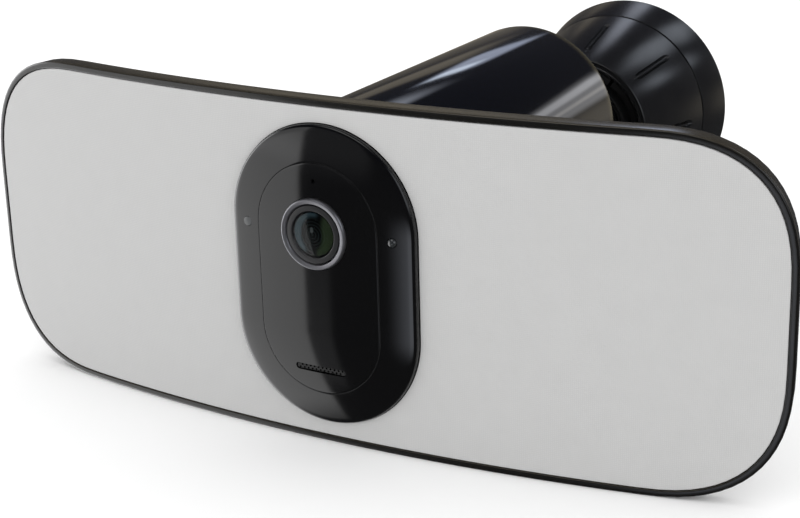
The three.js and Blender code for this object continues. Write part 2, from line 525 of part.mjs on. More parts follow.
// ---- camera face ----
const FACE_BACK = 3;
const PLATE_BACK = -3.4;
{
  const crown = (from, to) => steps(from, to, 4, (radius) => [radius, -faceRise(radius)]);
  const front = crown(SEAM_RADIUS + 0.4, FACE_RADIUS - 0.8);
  const ring = solid(pill([
    ...front, [FACE_RADIUS, -FACE_EDGE_RISE + 0.6], [FACE_RADIUS, FACE_BACK],
    [SEAM_RADIUS + 2.8, FACE_BACK], [SEAM_RADIUS + 2.8, -2], [SEAM_RADIUS + 0.4, -2.6], front[0],
  ]));
  const sockets = [-SENSOR_X, SENSOR_X].map((x) =>
    solid(rod(SENSOR_RADIUS + GAP, -12, 8, 16).translate(x, 0, EYE_Z)));
  add(headGroup, 'face_ring', cut(ring, ...sockets), GLOSS_BLACK);

  const plate = solid(pill([
    ...crown(0, SEAM_RADIUS), [SEAM_RADIUS, -2.6], [SEAM_RADIUS - 2, -2.2], [SEAM_RADIUS - 2, FACE_BACK],
    [SEAM_RADIUS - 4, FACE_BACK], [SEAM_RADIUS - 4, PLATE_BACK], [0, PLATE_BACK],
  ]));
  const eye = solid(rod(EYE_RADIUS + GAP, -12, 8, 24).translate(0, 0, EYE_Z));
  const mic = solid(rod(0.75, -12, 8, 10).translate(0, 0, MIC_Z));
  const end = SPEAKER_WIDTH / 2 - SPEAKER_HEIGHT / 2;
  const slotShape = (radius, y1, y2) => join(
    solid(block(-end, end, y1, y2, SPEAKER_Z - radius, SPEAKER_Z + radius)),
    ...[-end, end].map((x) => solid(rod(radius, y1, y2, 16).translate(x, 0, SPEAKER_Z))));
  add(headGroup, 'face_plate', cut(plate, eye, mic, slotShape(SPEAKER_HEIGHT / 2, -12, 0)), GLOSS_BLACK);

  // The grille sits in the slot, with two rows of small holes.
  const across = end + 0.8;
  const flange = solid(block(-across, across, PLATE_BACK + GAP, -1.4, SPEAKER_Z - 2.2, SPEAKER_Z + 2.2));
  const holes = [];
  for (let i = -5; i <= 5; i += 1) {
    for (const row of [-1, 1]) {
      const x = i * 1.8 + row * 0.45;
      holes.push(solid(rod(0.38, -8, 2, 4).translate(x, 0, SPEAKER_Z + row * 0.5)));
    }
  }
  const bar = slotShape(SPEAKER_HEIGHT / 2 - GAP, -5.2, -1.4);
  add(headGroup, 'speaker_grille', cut(join(bar, flange), ...holes), RUBBER);
}

// Camera eye, front to back.
const eyeAt = [0, 0, EYE_Z];
add(headGroup, 'lens_trim_ring', lathe([
  [EYE_RADIUS - 2.2, -7.2], [EYE_RADIUS - 1.6, -8.3], [EYE_RADIUS - 0.5, -8.4], [EYE_RADIUS, -7.8],
  [EYE_RADIUS, -2], [EYE_RADIUS - 4, -2], [EYE_RADIUS - 4, -4.4], [EYE_RADIUS - 2.2, -4.4],
  [EYE_RADIUS - 2.2, -7.2],
], 24), TRIM_GREY, eyeAt);
add(headGroup, 'lens_cover', lathe([
  ...steps(0, EYE_RADIUS - 2.5, 4, (radius) => [radius, -7.6 + 0.01 * radius * radius]),
  [EYE_RADIUS - 2.5, -4.7],
  ...steps(EYE_RADIUS - 4, 0, 3, (radius) => [radius, -6.4 + 0.01 * radius * radius]),
], 20), GLASS, eyeAt);
add(headGroup, 'lens_barrel', lathe([
  [8.2, -4.1], [9.4, -4.1], [9.4, 10.5], [3.5, 10.5], [3.5, 6], [5.6, 6], [5.6, 1.6], [8.2, 0.4],
  [8.2, -4.1],
], 20), SATIN_BLACK, eyeAt);
add(headGroup, 'front_lens', lathe([
  ...steps(0, 7.9, 5, (radius) => [radius, -4.4 + 3.4 * (1 - Math.sqrt(1 - (radius / 9.4) ** 2))]),
  [7.9, 0], [5.2, 1.2], [0, 1.2],
], 20), GLASS, eyeAt);
add(headGroup, 'rear_lens', lathe([
  ...steps(0, 5.3, 4, (radius) => [radius, 2.4 + 0.05 * radius * radius]), [5.3, 5.6], [0, 5.6],
], 16), GLASS, eyeAt);
add(headGroup, 'image_sensor_board', join(solid(block(-12, 12, 11.4, 12.8, -12, 12)),
  solid(block(-2.8, 2.8, 10.8, 12, -2, 2))), BOARD_GREEN, eyeAt);

// Sensors and sound parts behind the face.
const sensorFoot = [[SENSOR_RADIUS, 3.3], [SENSOR_RADIUS + 1, 3.3], [SENSOR_RADIUS + 1, 4], [0, 4]];
add(headGroup, 'light_window', lathe([
  [0, -4], [SENSOR_RADIUS, -3.9], ...sensorFoot,
], 16), GLASS, [-SENSOR_X, 0, EYE_Z]);
add(headGroup, 'status_dome', lathe([
  ...steps(0, SENSOR_RADIUS, 3, (radius) => [radius, -5.1 + 0.55 * radius * radius]), ...sensorFoot,
], 16), GLASS, [SENSOR_X, 0, EYE_Z]);
add(headGroup, 'microphone', block(-2, 2, PLATE_BACK + GAP, -1.7, -1.6, 1.6), ALUMINIUM, [0, 0, MIC_Z]);
add(headGroup, 'speaker_driver', lathe([
  [0, -1], [8.8, -1], [9.4, -0.2], [9.4, 2.6], [7.4, 3.2], [7.4, 7.6], [0, 7.6],
], 28), INNER_PLASTIC, [0, 0, SPEAKER_Z + 5]);
add(headGroup, 'motion_sensor', lathe([
  ...steps(0, 5, 4, (radius) => [radius, -2.9 + 0.08 * radius * radius]),
  [5, 3], [5.8, 3], [5.8, 4.6], [0, 4.6],
], 24), BOARD_WHITE, [0, 0, -14.5]);
add(headGroup, 'infrared_board', join(solid(block(-20, 20, -1.6, -0.4, -6.5, 8.5)),
  ...[-15, 15].map((x) => solid(rod(2.2, -3, -1.4, 16).translate(x, 0, 3)))), BOARD_GREEN);

// Carrier behind the face: a pill dish whose flange the face is sealed to.
const FLANGE_FRONT = 4.3;
{
  const wall = CORE_RADIUS - 2.2;
  const dish = solid(pill([
    [0, 22], [CORE_RADIUS, 22], [CORE_RADIUS, COVER_FRONT - GAP], [FACE_RADIUS - 1, COVER_FRONT - GAP],
    [FACE_RADIUS - 1, FLANGE_FRONT], [wall, FLANGE_FRONT], [wall, 19.8], [0, 19.8],
  ]));
  add(headGroup, 'core_carrier', dish, INNER_PLASTIC);
  add(headGroup, 'face_gasket', pillRing(FACE_RADIUS - 1, 35.2, FACE_BACK + GAP, FLANGE_FRONT - GAP), RUBBER);
  const board = join(solid(pillPlug(wall - 2, 14, 15.6)),
    solid(block(-12, 12, 15.4, 18, 2, 26)), solid(block(-22, -6, 15.4, 17, -30, -14)),
    solid(block(4, 22, 15.4, 17.4, -34, -18)));
  add(headGroup, 'main_board', board, BOARD_GREEN);
}

// Battery bay behind the carrier: a tray with two rails, its contact block, and the pack that slides out.
const TRAY_FRONT = 22 + GAP;
const PACK = { across: 22, up: 33, y1: 32, y2: 134 };
{
  const rails = [-1, 1].flatMap((side) => [-1, 1].map((end) =>
    solid(block(...[side * (PACK.across + GAP), side * (PACK.across + 2.4)].sort((a, b) => a - b),
      TRAY_FRONT + 1, PACK.y2 - 8, ...[end * 12, end * (PACK.up + 2)].sort((a, b) => a - b)))));
  const shelves = [-1, 1].map((end) => solid(block(-PACK.across - 2.4, PACK.across + 2.4, TRAY_FRONT + 1,
    PACK.y2 - 8, ...[end * (PACK.up + GAP), end * (PACK.up + 2.4)].sort((a, b) => a - b))));
  const back = solid(block(-PACK.across - 4, PACK.across + 4, TRAY_FRONT, TRAY_FRONT + 2.4,
    -PACK.up - 6, PACK.up + 6));
  add(headGroup, 'battery_tray', join(back, ...rails, ...shelves), INNER_PLASTIC);
  const contacts = join(solid(block(-12, 12, TRAY_FRONT + 2.4 + GAP, PACK.y1 - 2.6, -7, 7)),
    ...[-7.5, -2.5, 2.5, 7.5].map((x) => solid(block(x - 0.9, x + 0.9, PACK.y1 - 3, PACK.y1 - GAP, -4, 4))));
  add(headGroup, 'battery_contacts', contacts, BRASS);

  const corner = 7;
  const outline = new THREE.Shape();
  outline.moveTo(-PACK.across + corner, -PACK.up);
  outline.lineTo(PACK.across - corner, -PACK.up);
  outline.absarc(PACK.across - corner, -PACK.up + corner, corner, -Math.PI / 2, 0, false);
  outline.absarc(PACK.across - corner, PACK.up - corner, corner, 0, Math.PI / 2, false);
  outline.absarc(-PACK.across + corner, PACK.up - corner, corner, Math.PI / 2, Math.PI, false);
  outline.absarc(-PACK.across + corner, -PACK.up + corner, corner, Math.PI, 1.5 * Math.PI, false);
  const bevel = 1.5;
  const pack = new THREE.ExtrudeGeometry(outline, {
    depth: PACK.y2 - PACK.y1 - 2 * bevel, curveSegments: 5, bevelSize: bevel, bevelOffset: -bevel,
    bevelThickness: bevel, bevelSegments: 1,
  }).rotateX(-Math.PI / 2).translate(0, PACK.y1 + bevel, 0);
  const grip = solid(block(-9, 9, PACK.y2 - 2, PACK.y2 + 2, -2.5, 2.5));
  add(headGroup, 'battery_pack', cut(solid(pack), grip), CELL_GREY);
}

export default part;
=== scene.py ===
"""Floodlight security camera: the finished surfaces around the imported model, and a plain pale studio.

Shapes are given in millimetres and become metres when their mesh is made. Head parts are drawn with y as the
depth behind the lamp's front surface; wall parts with y measured from the wall.
"""
import json
from math import asin, atan2, cos, pi, radians, sin, sqrt, tan

import bmesh
import bpy
from mathutils import Matrix, Quaternion, Vector
from mathutils.bvhtree import BVHTree
from mathutils.interpolate import poly_3d_calc


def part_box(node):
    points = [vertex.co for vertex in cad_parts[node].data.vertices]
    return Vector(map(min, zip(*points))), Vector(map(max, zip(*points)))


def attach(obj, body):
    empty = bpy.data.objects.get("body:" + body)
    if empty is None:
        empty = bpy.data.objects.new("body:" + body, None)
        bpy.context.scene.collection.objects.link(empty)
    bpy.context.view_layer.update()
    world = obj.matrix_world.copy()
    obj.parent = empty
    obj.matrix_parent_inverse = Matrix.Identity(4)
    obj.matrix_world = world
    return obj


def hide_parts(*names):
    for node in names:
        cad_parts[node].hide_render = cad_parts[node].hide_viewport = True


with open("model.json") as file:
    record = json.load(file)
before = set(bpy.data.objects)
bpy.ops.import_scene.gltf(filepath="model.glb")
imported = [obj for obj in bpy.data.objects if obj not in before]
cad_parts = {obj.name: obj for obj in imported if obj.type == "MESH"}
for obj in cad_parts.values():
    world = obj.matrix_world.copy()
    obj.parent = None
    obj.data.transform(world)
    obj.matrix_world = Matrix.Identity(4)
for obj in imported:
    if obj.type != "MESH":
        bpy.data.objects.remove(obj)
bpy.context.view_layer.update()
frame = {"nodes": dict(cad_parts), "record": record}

MM = 0.001

# ---- places read from the frame ----
lamp_low, lamp_high = (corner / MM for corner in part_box("light_frame"))
FRONT_Y = lamp_low.y                              # the lamp's front surface, in its middle
PANEL_WIDTH = lamp_high.x - lamp_low.x
PANEL_HEIGHT = lamp_high.z - lamp_low.z
EYE_Z = sum(corner.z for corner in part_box("lens_trim_ring")) / 2 / MM
SENSOR_X = sum(corner.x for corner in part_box("status_dome")) / 2 / MM
BALL_Y = sum(corner.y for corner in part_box("pan_ring")) / 2 / MM
FLOOR_Z = min(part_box("light_frame")[0].z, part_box("housing_shell")[0].z)

# ---- driving dimensions, in millimetres ----
PANEL_CORNER = 53.8
CORNER_POWER = 2.56
BEND_RADIUS = 755
LIP = 2.5
RIM_DEPTH = 8.5
SPINE_INSET = 24
SPINE_DEPTH = 14
DIFFUSER_BACK = 2.2
LEDGE_BACK = 4.6                                  # the frame's ledge behind the diffuser
COVER_FRONT = 6.2
COVER_WALL = 2.4
CORE_RADIUS = 34                                  # the camera core that passes through the lamp
SCREW_HEAD = 2.4
SCREW_SHANK = 1.2
SCREW_SINK = 0.2                                  # head below the surface it sits in
GAP = 0.3

PILL_STRAIGHT = 20
FACE_RADIUS = 40
SEAM_RADIUS = 26
FACE_EDGE_RISE = 1.6
FACE_RISE = 7.5
BODY_RADIUS = 42
BODY_WALL = 2.5
BODY_FRONT = 16.6
BODY_REAR = 182
BODY_FILLET = 4
REAR_WALL = 4
STUD_RADIUS = 6
BRACKET_SCREWS = (-6.2, 6.2)                      # their places along X

EYE_RADIUS = 14
MIC_Z = 39.4
SPEAKER_Z = -36
SPEAKER_WIDTH = 22.4
SPEAKER_HEIGHT = 2.8
SENSOR_RADIUS = 1.5
WINDOW_RADIUS = 1.8                               # the finished window and dome, as seen in the face

BALL_RADIUS = 20
NECK_RADIUS = 8
COLLAR_MOUTH_Y = -65
COLLAR_SEAM_Y = -21
COLLAR_MOUTH_RADIUS = 35.5
COLLAR_SEAM_RADIUS = 48
BASE_RADIUS = 52
NOTCHES = 8
POST_RADIUS = 29
PLATE_RADIUS = 47
WALL_HOLE_RING = 34
BUTTON_Y = 148
CHARGE_PORT = {"x": 92, "z": -22, "across": 11, "up": 6}
SYNC_BUTTON = {"x": 62, "z": 22, "radius": 3.8}
COVER_SCREWS = [(x, side * (PANEL_HEIGHT / 2 - 9.5)) for side in (-1, 1) for x in (-118, -58, 58, 118)]

ROUND = 96                                        # segments round a turned piece
SMALL_ROUND = 40

BODY_OF = {node: body for body, nodes in frame["record"]["behaviour"]["bodies"].items() for node in nodes}
SLOT_OF = {row["node"]: row["material_slot"] for row in frame["record"]["subparts"]}


# ---- outlines ----

def rounded(outline, closed=False, steps=5):
    """Corners given as (a, b, radius) turned into arcs; a radius of 0 keeps the corner sharp."""
    points = []
    count = len(outline)
    for i, (a, b, radius) in enumerate(outline):
        if radius == 0 or (not closed and i in (0, count - 1)):
            points.append((a, b))
            continue
        here = Vector((a, b))
        back = Vector(outline[i - 1][:2]) - here
        ahead = Vector(outline[(i + 1) % count][:2]) - here
        half = back.angle(ahead) / 2
        reach = min(radius / tan(half), 0.48 * back.length, 0.48 * ahead.length)
        size = reach * tan(half)
        centre = here + (back.normalized() + ahead.normalized()).normalized() * size / sin(half)
        start = here + back.normalized() * reach - centre
        end = here + ahead.normalized() * reach - centre
        first = atan2(start.y, start.x)
        turn = (atan2(end.y, end.x) - first + pi) % (2 * pi) - pi
        for k in range(steps + 1):
            angle = first + turn * k / steps
            points.append((centre.x + size * cos(angle), centre.y + size * sin(angle)))
    return points


def face_rise(radius):
    """How far the crowned face stands in front of the lamp at a distance from the pill's spine."""
    return FACE_EDGE_RISE + (FACE_RISE - FACE_EDGE_RISE) * (1 - (radius / FACE_RADIUS) ** 2)


def crown(start, end, count):
    """The face's crown as sharp outline points, from one distance to another."""
    radii = [start + (end - start) * i / count for i in range(count + 1)]
    return [(radius, -face_rise(radius), 0) for radius in radii]


def bend_angle(x):
    return asin(x / BEND_RADIUS)


def on_curve(x, depth, z=0.0):
    """Where a point on the lamp's front lies once it is moved back by a depth."""
    angle = bend_angle(x)
    radius = BEND_RADIUS - depth
    return (radius * sin(angle), BEND_RADIUS - radius * cos(angle), z)


# ---- meshes ----

def shape_from(points, faces, sharp=35):
    """One clean closed mesh from points in millimetres, shaded smooth except over sharp edges."""
    mesh = bpy.data.meshes.new("shape")
    mesh.from_pydata([tuple(c * MM for c in point) for point in points], [], faces)
    work = bmesh.new()
    work.from_mesh(mesh)
    bmesh.ops.remove_doubles(work, verts=work.verts, dist=1e-7)
    bmesh.ops.recalc_face_normals(work, faces=work.faces)
    work.to_mesh(mesh)
    work.free()
    shade(mesh, sharp)
    shape = bpy.data.objects.new("shape", mesh)
    bpy.context.scene.collection.objects.link(shape)
    return shape


def shade(mesh, sharp=35):
    mesh.polygons.foreach_set("use_smooth", [True] * len(mesh.polygons))
    mesh.set_sharp_from_angle(angle=radians(sharp))


def rings_to_faces(rings, closed):
    """Quads between neighbouring rings of equal length, and the rings' points in one list."""
    size = len(rings[0])
    points = [point for ring in rings for point in ring]
    faces = []
    for r in range(len(rings) if closed else len(rings) - 1):
        low, high = r * size, (r + 1) % len(rings) * size
        for i in range(size):
            j = (i + 1) % size
            faces.append((low + i, low + j, high + j, high + i))
    return points, faces


def pill_ring(radius, y, segments, straight):
    """A loop about Y: a circle, or a circle drawn out up and down into a pill."""
    ring = []
    half = segments // 2
    sides = 10 if straight else 0
    for end in (1, -1):
        for i in range(half + (1 if straight else 0)):
            angle = pi * i / half + (0 if end == 1 else pi)
            ring.append((radius * cos(angle), y, end * straight + radius * sin(angle)))
        for i in range(1, sides):
            ring.append((-end * radius, y, end * straight * (1 - 2 * i / sides)))
    return ring


def turned(profile, segments=ROUND, straight=0.0, closed=False, sharp=35):
    """A solid turned about Y from (radius, y) points that start and end on the axis, or are closed."""
    rings = [pill_ring(radius, y, segments, straight) for radius, y in profile]
    return shape_from(*rings_to_faces(rings, closed), sharp)


def rod(radius, y1, y2, edge=0.0, segments=SMALL_ROUND, straight=0.0):
    outline = [(0, y1, 0), (radius, y1, edge), (radius, y2, edge), (0, y2, 0)]
    return turned(rounded(outline), segments, straight)


def tube(outer, inner, y1, y2, edge=0.2, segments=ROUND, straight=0.0):
    outline = [(inner, y1, edge), (outer, y1, edge), (outer, y2, edge), (inner, y2, edge)]
    return turned(rounded(outline, closed=True, steps=3), segments, straight, closed=True)


def block(x1, x2, y1, y2, z1, z2, edge=0.4, steps=3):
    """A box between two corners with every edge rounded."""
    mesh = bpy.data.meshes.new("block")
    work = bmesh.new()
    bmesh.ops.create_cube(work, size=1)
    for vert in work.verts:
        vert.co = Vector(((x1, x2)[vert.co.x > 0], (y1, y2)[vert.co.y > 0], (z1, z2)[vert.co.z > 0])) * MM
    if edge:
        bmesh.ops.bevel(work, geom=work.edges[:], offset=edge * MM, segments=steps, profile=0.5,
                        affect="EDGES", clamp_overlap=True)
    bmesh.ops.recalc_face_normals(work, faces=work.faces)
    work.to_mesh(mesh)
    work.free()
    shade(mesh)
    shape = bpy.data.objects.new("block", mesh)
    bpy.context.scene.collection.objects.link(shape)
    return shape


CORNER_POINTS = 16
STRAIGHT_POINTS = 56
SIDE_ROWS = 10


def lamp_columns(inset):
    """The lamp outline's upper half as (x, z) points from its left end to its right end."""
    corner = PANEL_CORNER - inset
    straight = PANEL_WIDTH / 2 - PANEL_CORNER
    side = PANEL_HEIGHT / 2 - inset
    arc = []
    for i in range(CORNER_POINTS + 1):
        angle = pi / 2 * i / CORNER_POINTS
        along = max(cos(angle), 0) ** (2 / CORNER_POWER)
        up = sin(angle) ** (2 / CORNER_POWER)
        arc.append((straight + corner * along, side - corner + corner * up))
    middle = [(-straight + 2 * straight * i / STRAIGHT_POINTS, side) for i in range(1, STRAIGHT_POINTS)]
    return [(-x, z) for x, z in arc] + middle + arc[::-1]


def lamp_grid(inset):
    """The whole outline filled with rows of points, column by column."""
    return [[(x, z * (1 - 2 * k / SIDE_ROWS)) for k in range(SIDE_ROWS + 1)] for x, z in lamp_columns(inset)]


def lamp_ring(inset, depth):
    """The outline's edge as one loop of points at a depth behind the front surface."""
    grid = lamp_grid(inset)
    loop = [column[0] for column in grid] + grid[-1][1:-1]
    loop += [column[-1] for column in grid[::-1]] + grid[0][-2:0:-1]
    return [on_curve(x, depth, z) for x, z in loop]


def lamp_shape(profile, closed=False):
    """A curved piece with the lamp's outline. Profile points are (inset, depth); an open one is capped."""
    points, faces = rings_to_faces([lamp_ring(inset, depth) for inset, depth in profile], closed)
    for inset, depth in () if closed else (profile[0], profile[-1]):
        grid = lamp_grid(inset)
        start = len(points)
        points += [on_curve(x, depth, z) for column in grid for x, z in column]
        rows = SIDE_ROWS + 1
        for c in range(len(grid) - 1):
            for k in range(SIDE_ROWS):
                a = start + c * rows + k
                faces.append((a, a + 1, a + rows + 1, a + rows))
    return shape_from(points, faces)


def placed(shape, x=0.0, y=0.0, z=0.0, turn_z=0.0, turn_x=0.0, turn_y=0.0):
    """Turns a shape about the origin and then moves it, in millimetres."""
    turn = Matrix.Rotation(turn_z, 4, "Z") @ Matrix.Rotation(turn_y, 4, "Y") @ Matrix.Rotation(turn_x, 4, "X")
    shape.data.transform(Matrix.Translation(Vector((x, y, z)) * MM) @ turn)
    return shape


def stood(shape, x, z, depth):
    """Stands a shape on the lamp's curve, with its +Y along the depth."""
    px, py, _ = on_curve(x, depth)
    return placed(shape, px, py, z, turn_z=bend_angle(x))


def joined(*shapes):
    """Several separate shells as one object."""
    work = bmesh.new()
    for shape in shapes:
        work.from_mesh(shape.data)
    work.to_mesh(shapes[0].data)
    work.free()
    for shape in shapes[1:]:
        bpy.data.objects.remove(shape)
    shade(shapes[0].data)
    return shapes[0]


def keep_normals(mesh, source, tree):
    """Gives a cut mesh the smooth normals that its surfaces had before the cut."""
    corner_normals = [corner.vector.copy() for corner in source.corner_normals]
    own = [corner.vector.copy() for corner in mesh.corner_normals]
    for polygon in mesh.polygons:
        for loop in polygon.loop_indices:
            corner = mesh.vertices[mesh.loops[loop].vertex_index].co
            inward = polygon.center - corner
            probe = corner + inward.normalized() * min(inward.length * 0.3, 0.02 * MM)
            place, normal, index, distance = tree.find_nearest(probe)
            if place is None or distance > 0.02 * MM or normal.dot(polygon.normal) < 0.9:
                continue
            face = source.polygons[index]
            weights = poly_3d_calc([source.vertices[v].co for v in face.vertices], place)
            shares = [corner_normals[at] * weight for at, weight in zip(face.loop_indices, weights)]
            blended = sum(shares, Vector())
            own[loop] = blended.normalized()
    mesh.normals_split_custom_set(own)


def carve(shape, *tools, operation="DIFFERENCE", edge=0.0):
    """Cuts the tools out of a shape, or joins them to it, and keeps its surfaces smooth."""
    source = shape.data
    tree = BVHTree.FromPolygons([v.co for v in source.vertices], [p.vertices for p in source.polygons])
    for tool in tools:
        modifier = shape.modifiers.new("carve", "BOOLEAN")
        modifier.operation = operation
        modifier.solver = "EXACT"
        modifier.object = tool
    if edge:
        bevel = shape.modifiers.new("edge", "BEVEL")
        bevel.width = edge * MM
        bevel.segments = 2
        bevel.limit_method = "ANGLE"
        bevel.angle_limit = radians(32)
        bevel.use_clamp_overlap = True
    graph = bpy.context.evaluated_depsgraph_get()
    mesh = bpy.data.meshes.new_from_object(shape.evaluated_get(graph))
    shape.modifiers.clear()
    shape.data = mesh
    shade(mesh)
    keep_normals(mesh, source, tree)
    for tool in tools:
        bpy.data.objects.remove(tool)
    return shape


def finished(node, shape, material=None, head=True, name=None):
    """Puts a finished shape in a CAD node's place, on the same body and in the same slot."""
    if head:
        placed(shape, y=FRONT_Y)
    shape.name = name or f"{node}_finished"
    shape.data.name = shape.name
    shape.data.materials.clear()
    shape.data.materials.append(material or MATERIALS[SLOT_OF[node]])
    for polygon in shape.data.polygons:
        polygon.material_index = 0
    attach(shape, BODY_OF[node])
    if name is None:
        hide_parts(node)
    return shape


# ---- camera ----

CAMERA = {"target": (32.88, FRONT_Y, 11.90), "azimuth": 29.91, "elevation": 19.11, "distance": 662.5,
          "roll": -1.538, "lens": 80.6}


def add_camera():
    azimuth, elevation = radians(CAMERA["azimuth"]), radians(CAMERA["elevation"])
    away = Vector((sin(azimuth) * cos(elevation), -cos(azimuth) * cos(elevation), sin(elevation)))
    data = bpy.data.cameras.new("camera")
    data.lens = CAMERA["lens"]
    data.sensor_width = 36
    data.clip_start = 0.01
    camera = bpy.data.objects.new("camera", data)
    bpy.context.scene.collection.objects.link(camera)
    camera.location = (Vector(CAMERA["target"]) + away * CAMERA["distance"]) * MM
    camera.rotation_mode = "QUATERNION"
    level = (-away).to_track_quat("-Z", "Y")
    camera.rotation_quaternion = level @ Quaternion((0, 0, 1), radians(CAMERA["roll"]))
    bpy.context.scene.camera = camera


# ---- studio ----

SKY = 1.32                        # brightness of the pale surroundings
FLOOR_TONE = 0.92

# Soft lights seen only in reflections and through glass: where they stand, their half size, softness,
# colour and brightness.
# Azimuth 0 is in front of the lamp and 90 to its right; all angles are in degrees.
CARDS = [
    {"at": (-72, -20), "half": (35.0, 27), "soft": (1.0, 6), "tone": (1.0, 1.0, 1.0), "power": 1.45},
    {"at": (-66, 14), "half": (29.5, 10), "soft": (1.2, 5), "tone": (1.0, 1.0, 1.0), "power": 1.0},
    {"at": (-95, -15), "half": (20, 40), "soft": (12, 10), "tone": (1.0, 1.0, 1.02), "power": 3.0},
    {"at": (-32, -28), "half": (5, 10), "soft": (1.5, 5), "tone": (1.0, 1.0, 1.02), "power": 0.24},
    {"at": (-24, 12), "half": (13, 10), "soft": (3, 6), "tone": (1.0, 1.0, 1.02), "power": 0.16},
    {"at": (9, -20), "half": (9.5, 6), "soft": (6, 5), "tone": (0.86, 0.90, 1.0), "power": 1.7},
    {"at": (-160, 23.6), "half": (3.6, 3.7), "soft": (1.4, 1.0), "tone": (0.70, 0.78, 1.0), "power": 1.65},
    {"at": (-159.5, 26.2), "half": (2.4, 1.3), "soft": (1.0, 0.6), "tone": (0.78, 0.88, 1.0), "power": 2.2},
    {"at": (154.5, 9), "half": (8, 6.5), "soft": (3, 2), "tone": (0.97, 0.97, 1.0), "power": 1.25},
    {"at": (155, 12.6), "half": (7, 1.7), "soft": (2.5, 1.0), "tone": (0.94, 0.95, 1.0), "power": 1.5},
    {"at": (154, 7.2), "half": (7, 0.9), "soft": (2.5, 0.7), "tone": (1.0, 0.94, 0.86), "power": 0.9},
    {"at": (150, -5), "half": (16, 7), "soft": (6, 5), "tone": (1.0, 0.90, 0.72), "power": 0.45},
    {"at": (-149, -2), "half": (7, 12), "soft": (4, 6), "tone": (1.0, 0.84, 0.56), "power": 0.09},
    {"at": (-149, 17), "half": (6, 4), "soft": (3, 2), "tone": (1.0, 0.88, 0.66), "power": 0.34},
    {"at": (-149, -14), "half": (14, 8), "soft": (4, 4), "tone": (1.0, 0.86, 0.58), "power": 0.13},
    {"at": (-162, 43), "half": (5, 9), "soft": (3, 4), "tone": (0.80, 0.86, 1.0), "power": 2.3},
    {"at": (154, 45), "half": (10, 8), "soft": (4, 4), "tone": (0.82, 0.89, 1.0), "power": 2.2},
    {"at": (129.5, 30.5), "half": (4, 4.5), "soft": (2.5, 2.5), "tone": (0.82, 0.89, 1.0), "power": 3.0},
    {"at": (75, 25), "half": (22, 18), "soft": (10, 8), "tone": (0.9, 0.94, 1.0), "power": 1.3},
    {"at": (-20, 68), "half": (60, 10), "soft": (25, 6), "tone": (1.0, 1.0, 1.0), "power": 1.6},
]
DIM_FRONT = (0.082, 0.082, 0.085)  # what the gloss sees between the lights
DIM_ABOVE = (0.052, 0.055, 0.070)


def wired(nodes, links, kind, inputs, **settings):
    """A node with its inputs set or linked by position."""
    node = nodes.new(kind)
    for key, value in settings.items():
        setattr(node, key, value)
    for position, value in inputs.items():
        if isinstance(value, bpy.types.NodeSocket):
            links.new(value, node.inputs[position])
        else:
            node.inputs[position].default_value = value
    return node


def maths(nodes, links):
    """The function that adds a math node to one node tree."""
    def math(operation, *values):
        return wired(nodes, links, "ShaderNodeMath", dict(enumerate(values)), operation=operation).outputs[0]
    return math


def scaled(nodes, links, vector, amount):
    inputs = {0: vector, "Scale": amount}
    return wired(nodes, links, "ShaderNodeVectorMath", inputs, operation="SCALE").outputs[0]


def added(nodes, links, one, other):
    return wired(nodes, links, "ShaderNodeVectorMath", {0: one, 1: other}, operation="ADD").outputs[0]


def add_film(shader, nodes, links, tone, amount):
    """Lays a paler film over a shader's base colour."""
    base = shader.inputs["Base Color"].links[0].from_socket
    film = scaled(nodes, links, tone, amount)
    links.new(added(nodes, links, base, film), shader.inputs["Base Color"])


def add_world():
    world = bpy.data.worlds.new("studio")
    bpy.context.scene.world = world
    world.use_nodes = True
    world.cycles.sampling_method = "NONE"
    nodes, links = world.node_tree.nodes, world.node_tree.links
    nodes.clear()
    math = maths(nodes, links)

    def fade(value, half, soft):
        limits = {"Value": value, "From Min": radians(half - soft), "From Max": radians(half + soft),
                  "To Min": 1.0, "To Max": 0.0}
        return wired(nodes, links, "ShaderNodeMapRange", limits, interpolation_type="SMOOTHSTEP").outputs[0]

    direction = nodes.new("ShaderNodeTexCoord").outputs["Generated"]
    parts = wired(nodes, links, "ShaderNodeSeparateXYZ", {0: direction}).outputs
    azimuth = math("ARCTAN2", parts["X"], math("MULTIPLY", parts["Y"], -1.0))
    elevation = math("ARCSINE", parts["Z"])

    height = wired(nodes, links, "ShaderNodeMapRange", {
        "Value": elevation, "From Min": radians(-10), "From Max": radians(35)}).outputs[0]
    ramp = wired(nodes, links, "ShaderNodeValToRGB", {0: height})
    ramp.color_ramp.elements[0].color = (*DIM_FRONT, 1)
    ramp.color_ramp.elements[1].color = (*DIM_ABOVE, 1)
    total = ramp.outputs[0]
    for card in CARDS:
        off = math("ARCCOSINE", math("COSINE", math("SUBTRACT", azimuth, radians(card["at"][0]))))
        across = fade(off, card["half"][0], card["soft"][0])
        rise = math("ABSOLUTE", math("SUBTRACT", elevation, radians(card["at"][1])))
        up = fade(rise, card["half"][1], card["soft"][1])
        amount = math("MULTIPLY", across, up)
        light = tuple(tone * card["power"] for tone in card["tone"])
        total = added(nodes, links, total, scaled(nodes, links, light, amount))
    lights = wired(nodes, links, "ShaderNodeBackground", {0: total, 1: 1.0})
    sky = wired(nodes, links, "ShaderNodeBackground", {0: (1, 1, 1, 1), 1: SKY})
    path = nodes.new("ShaderNodeLightPath").outputs
    shiny = math("MAXIMUM", path["Is Glossy Ray"], path["Is Transmission Ray"])
    mix = wired(nodes, links, "ShaderNodeMixShader", {0: shiny, 1: sky.outputs[0], 2: lights.outputs[0]})
    output = nodes.new("ShaderNodeOutputWorld")
    links.new(mix.outputs[0], output.inputs["Surface"])


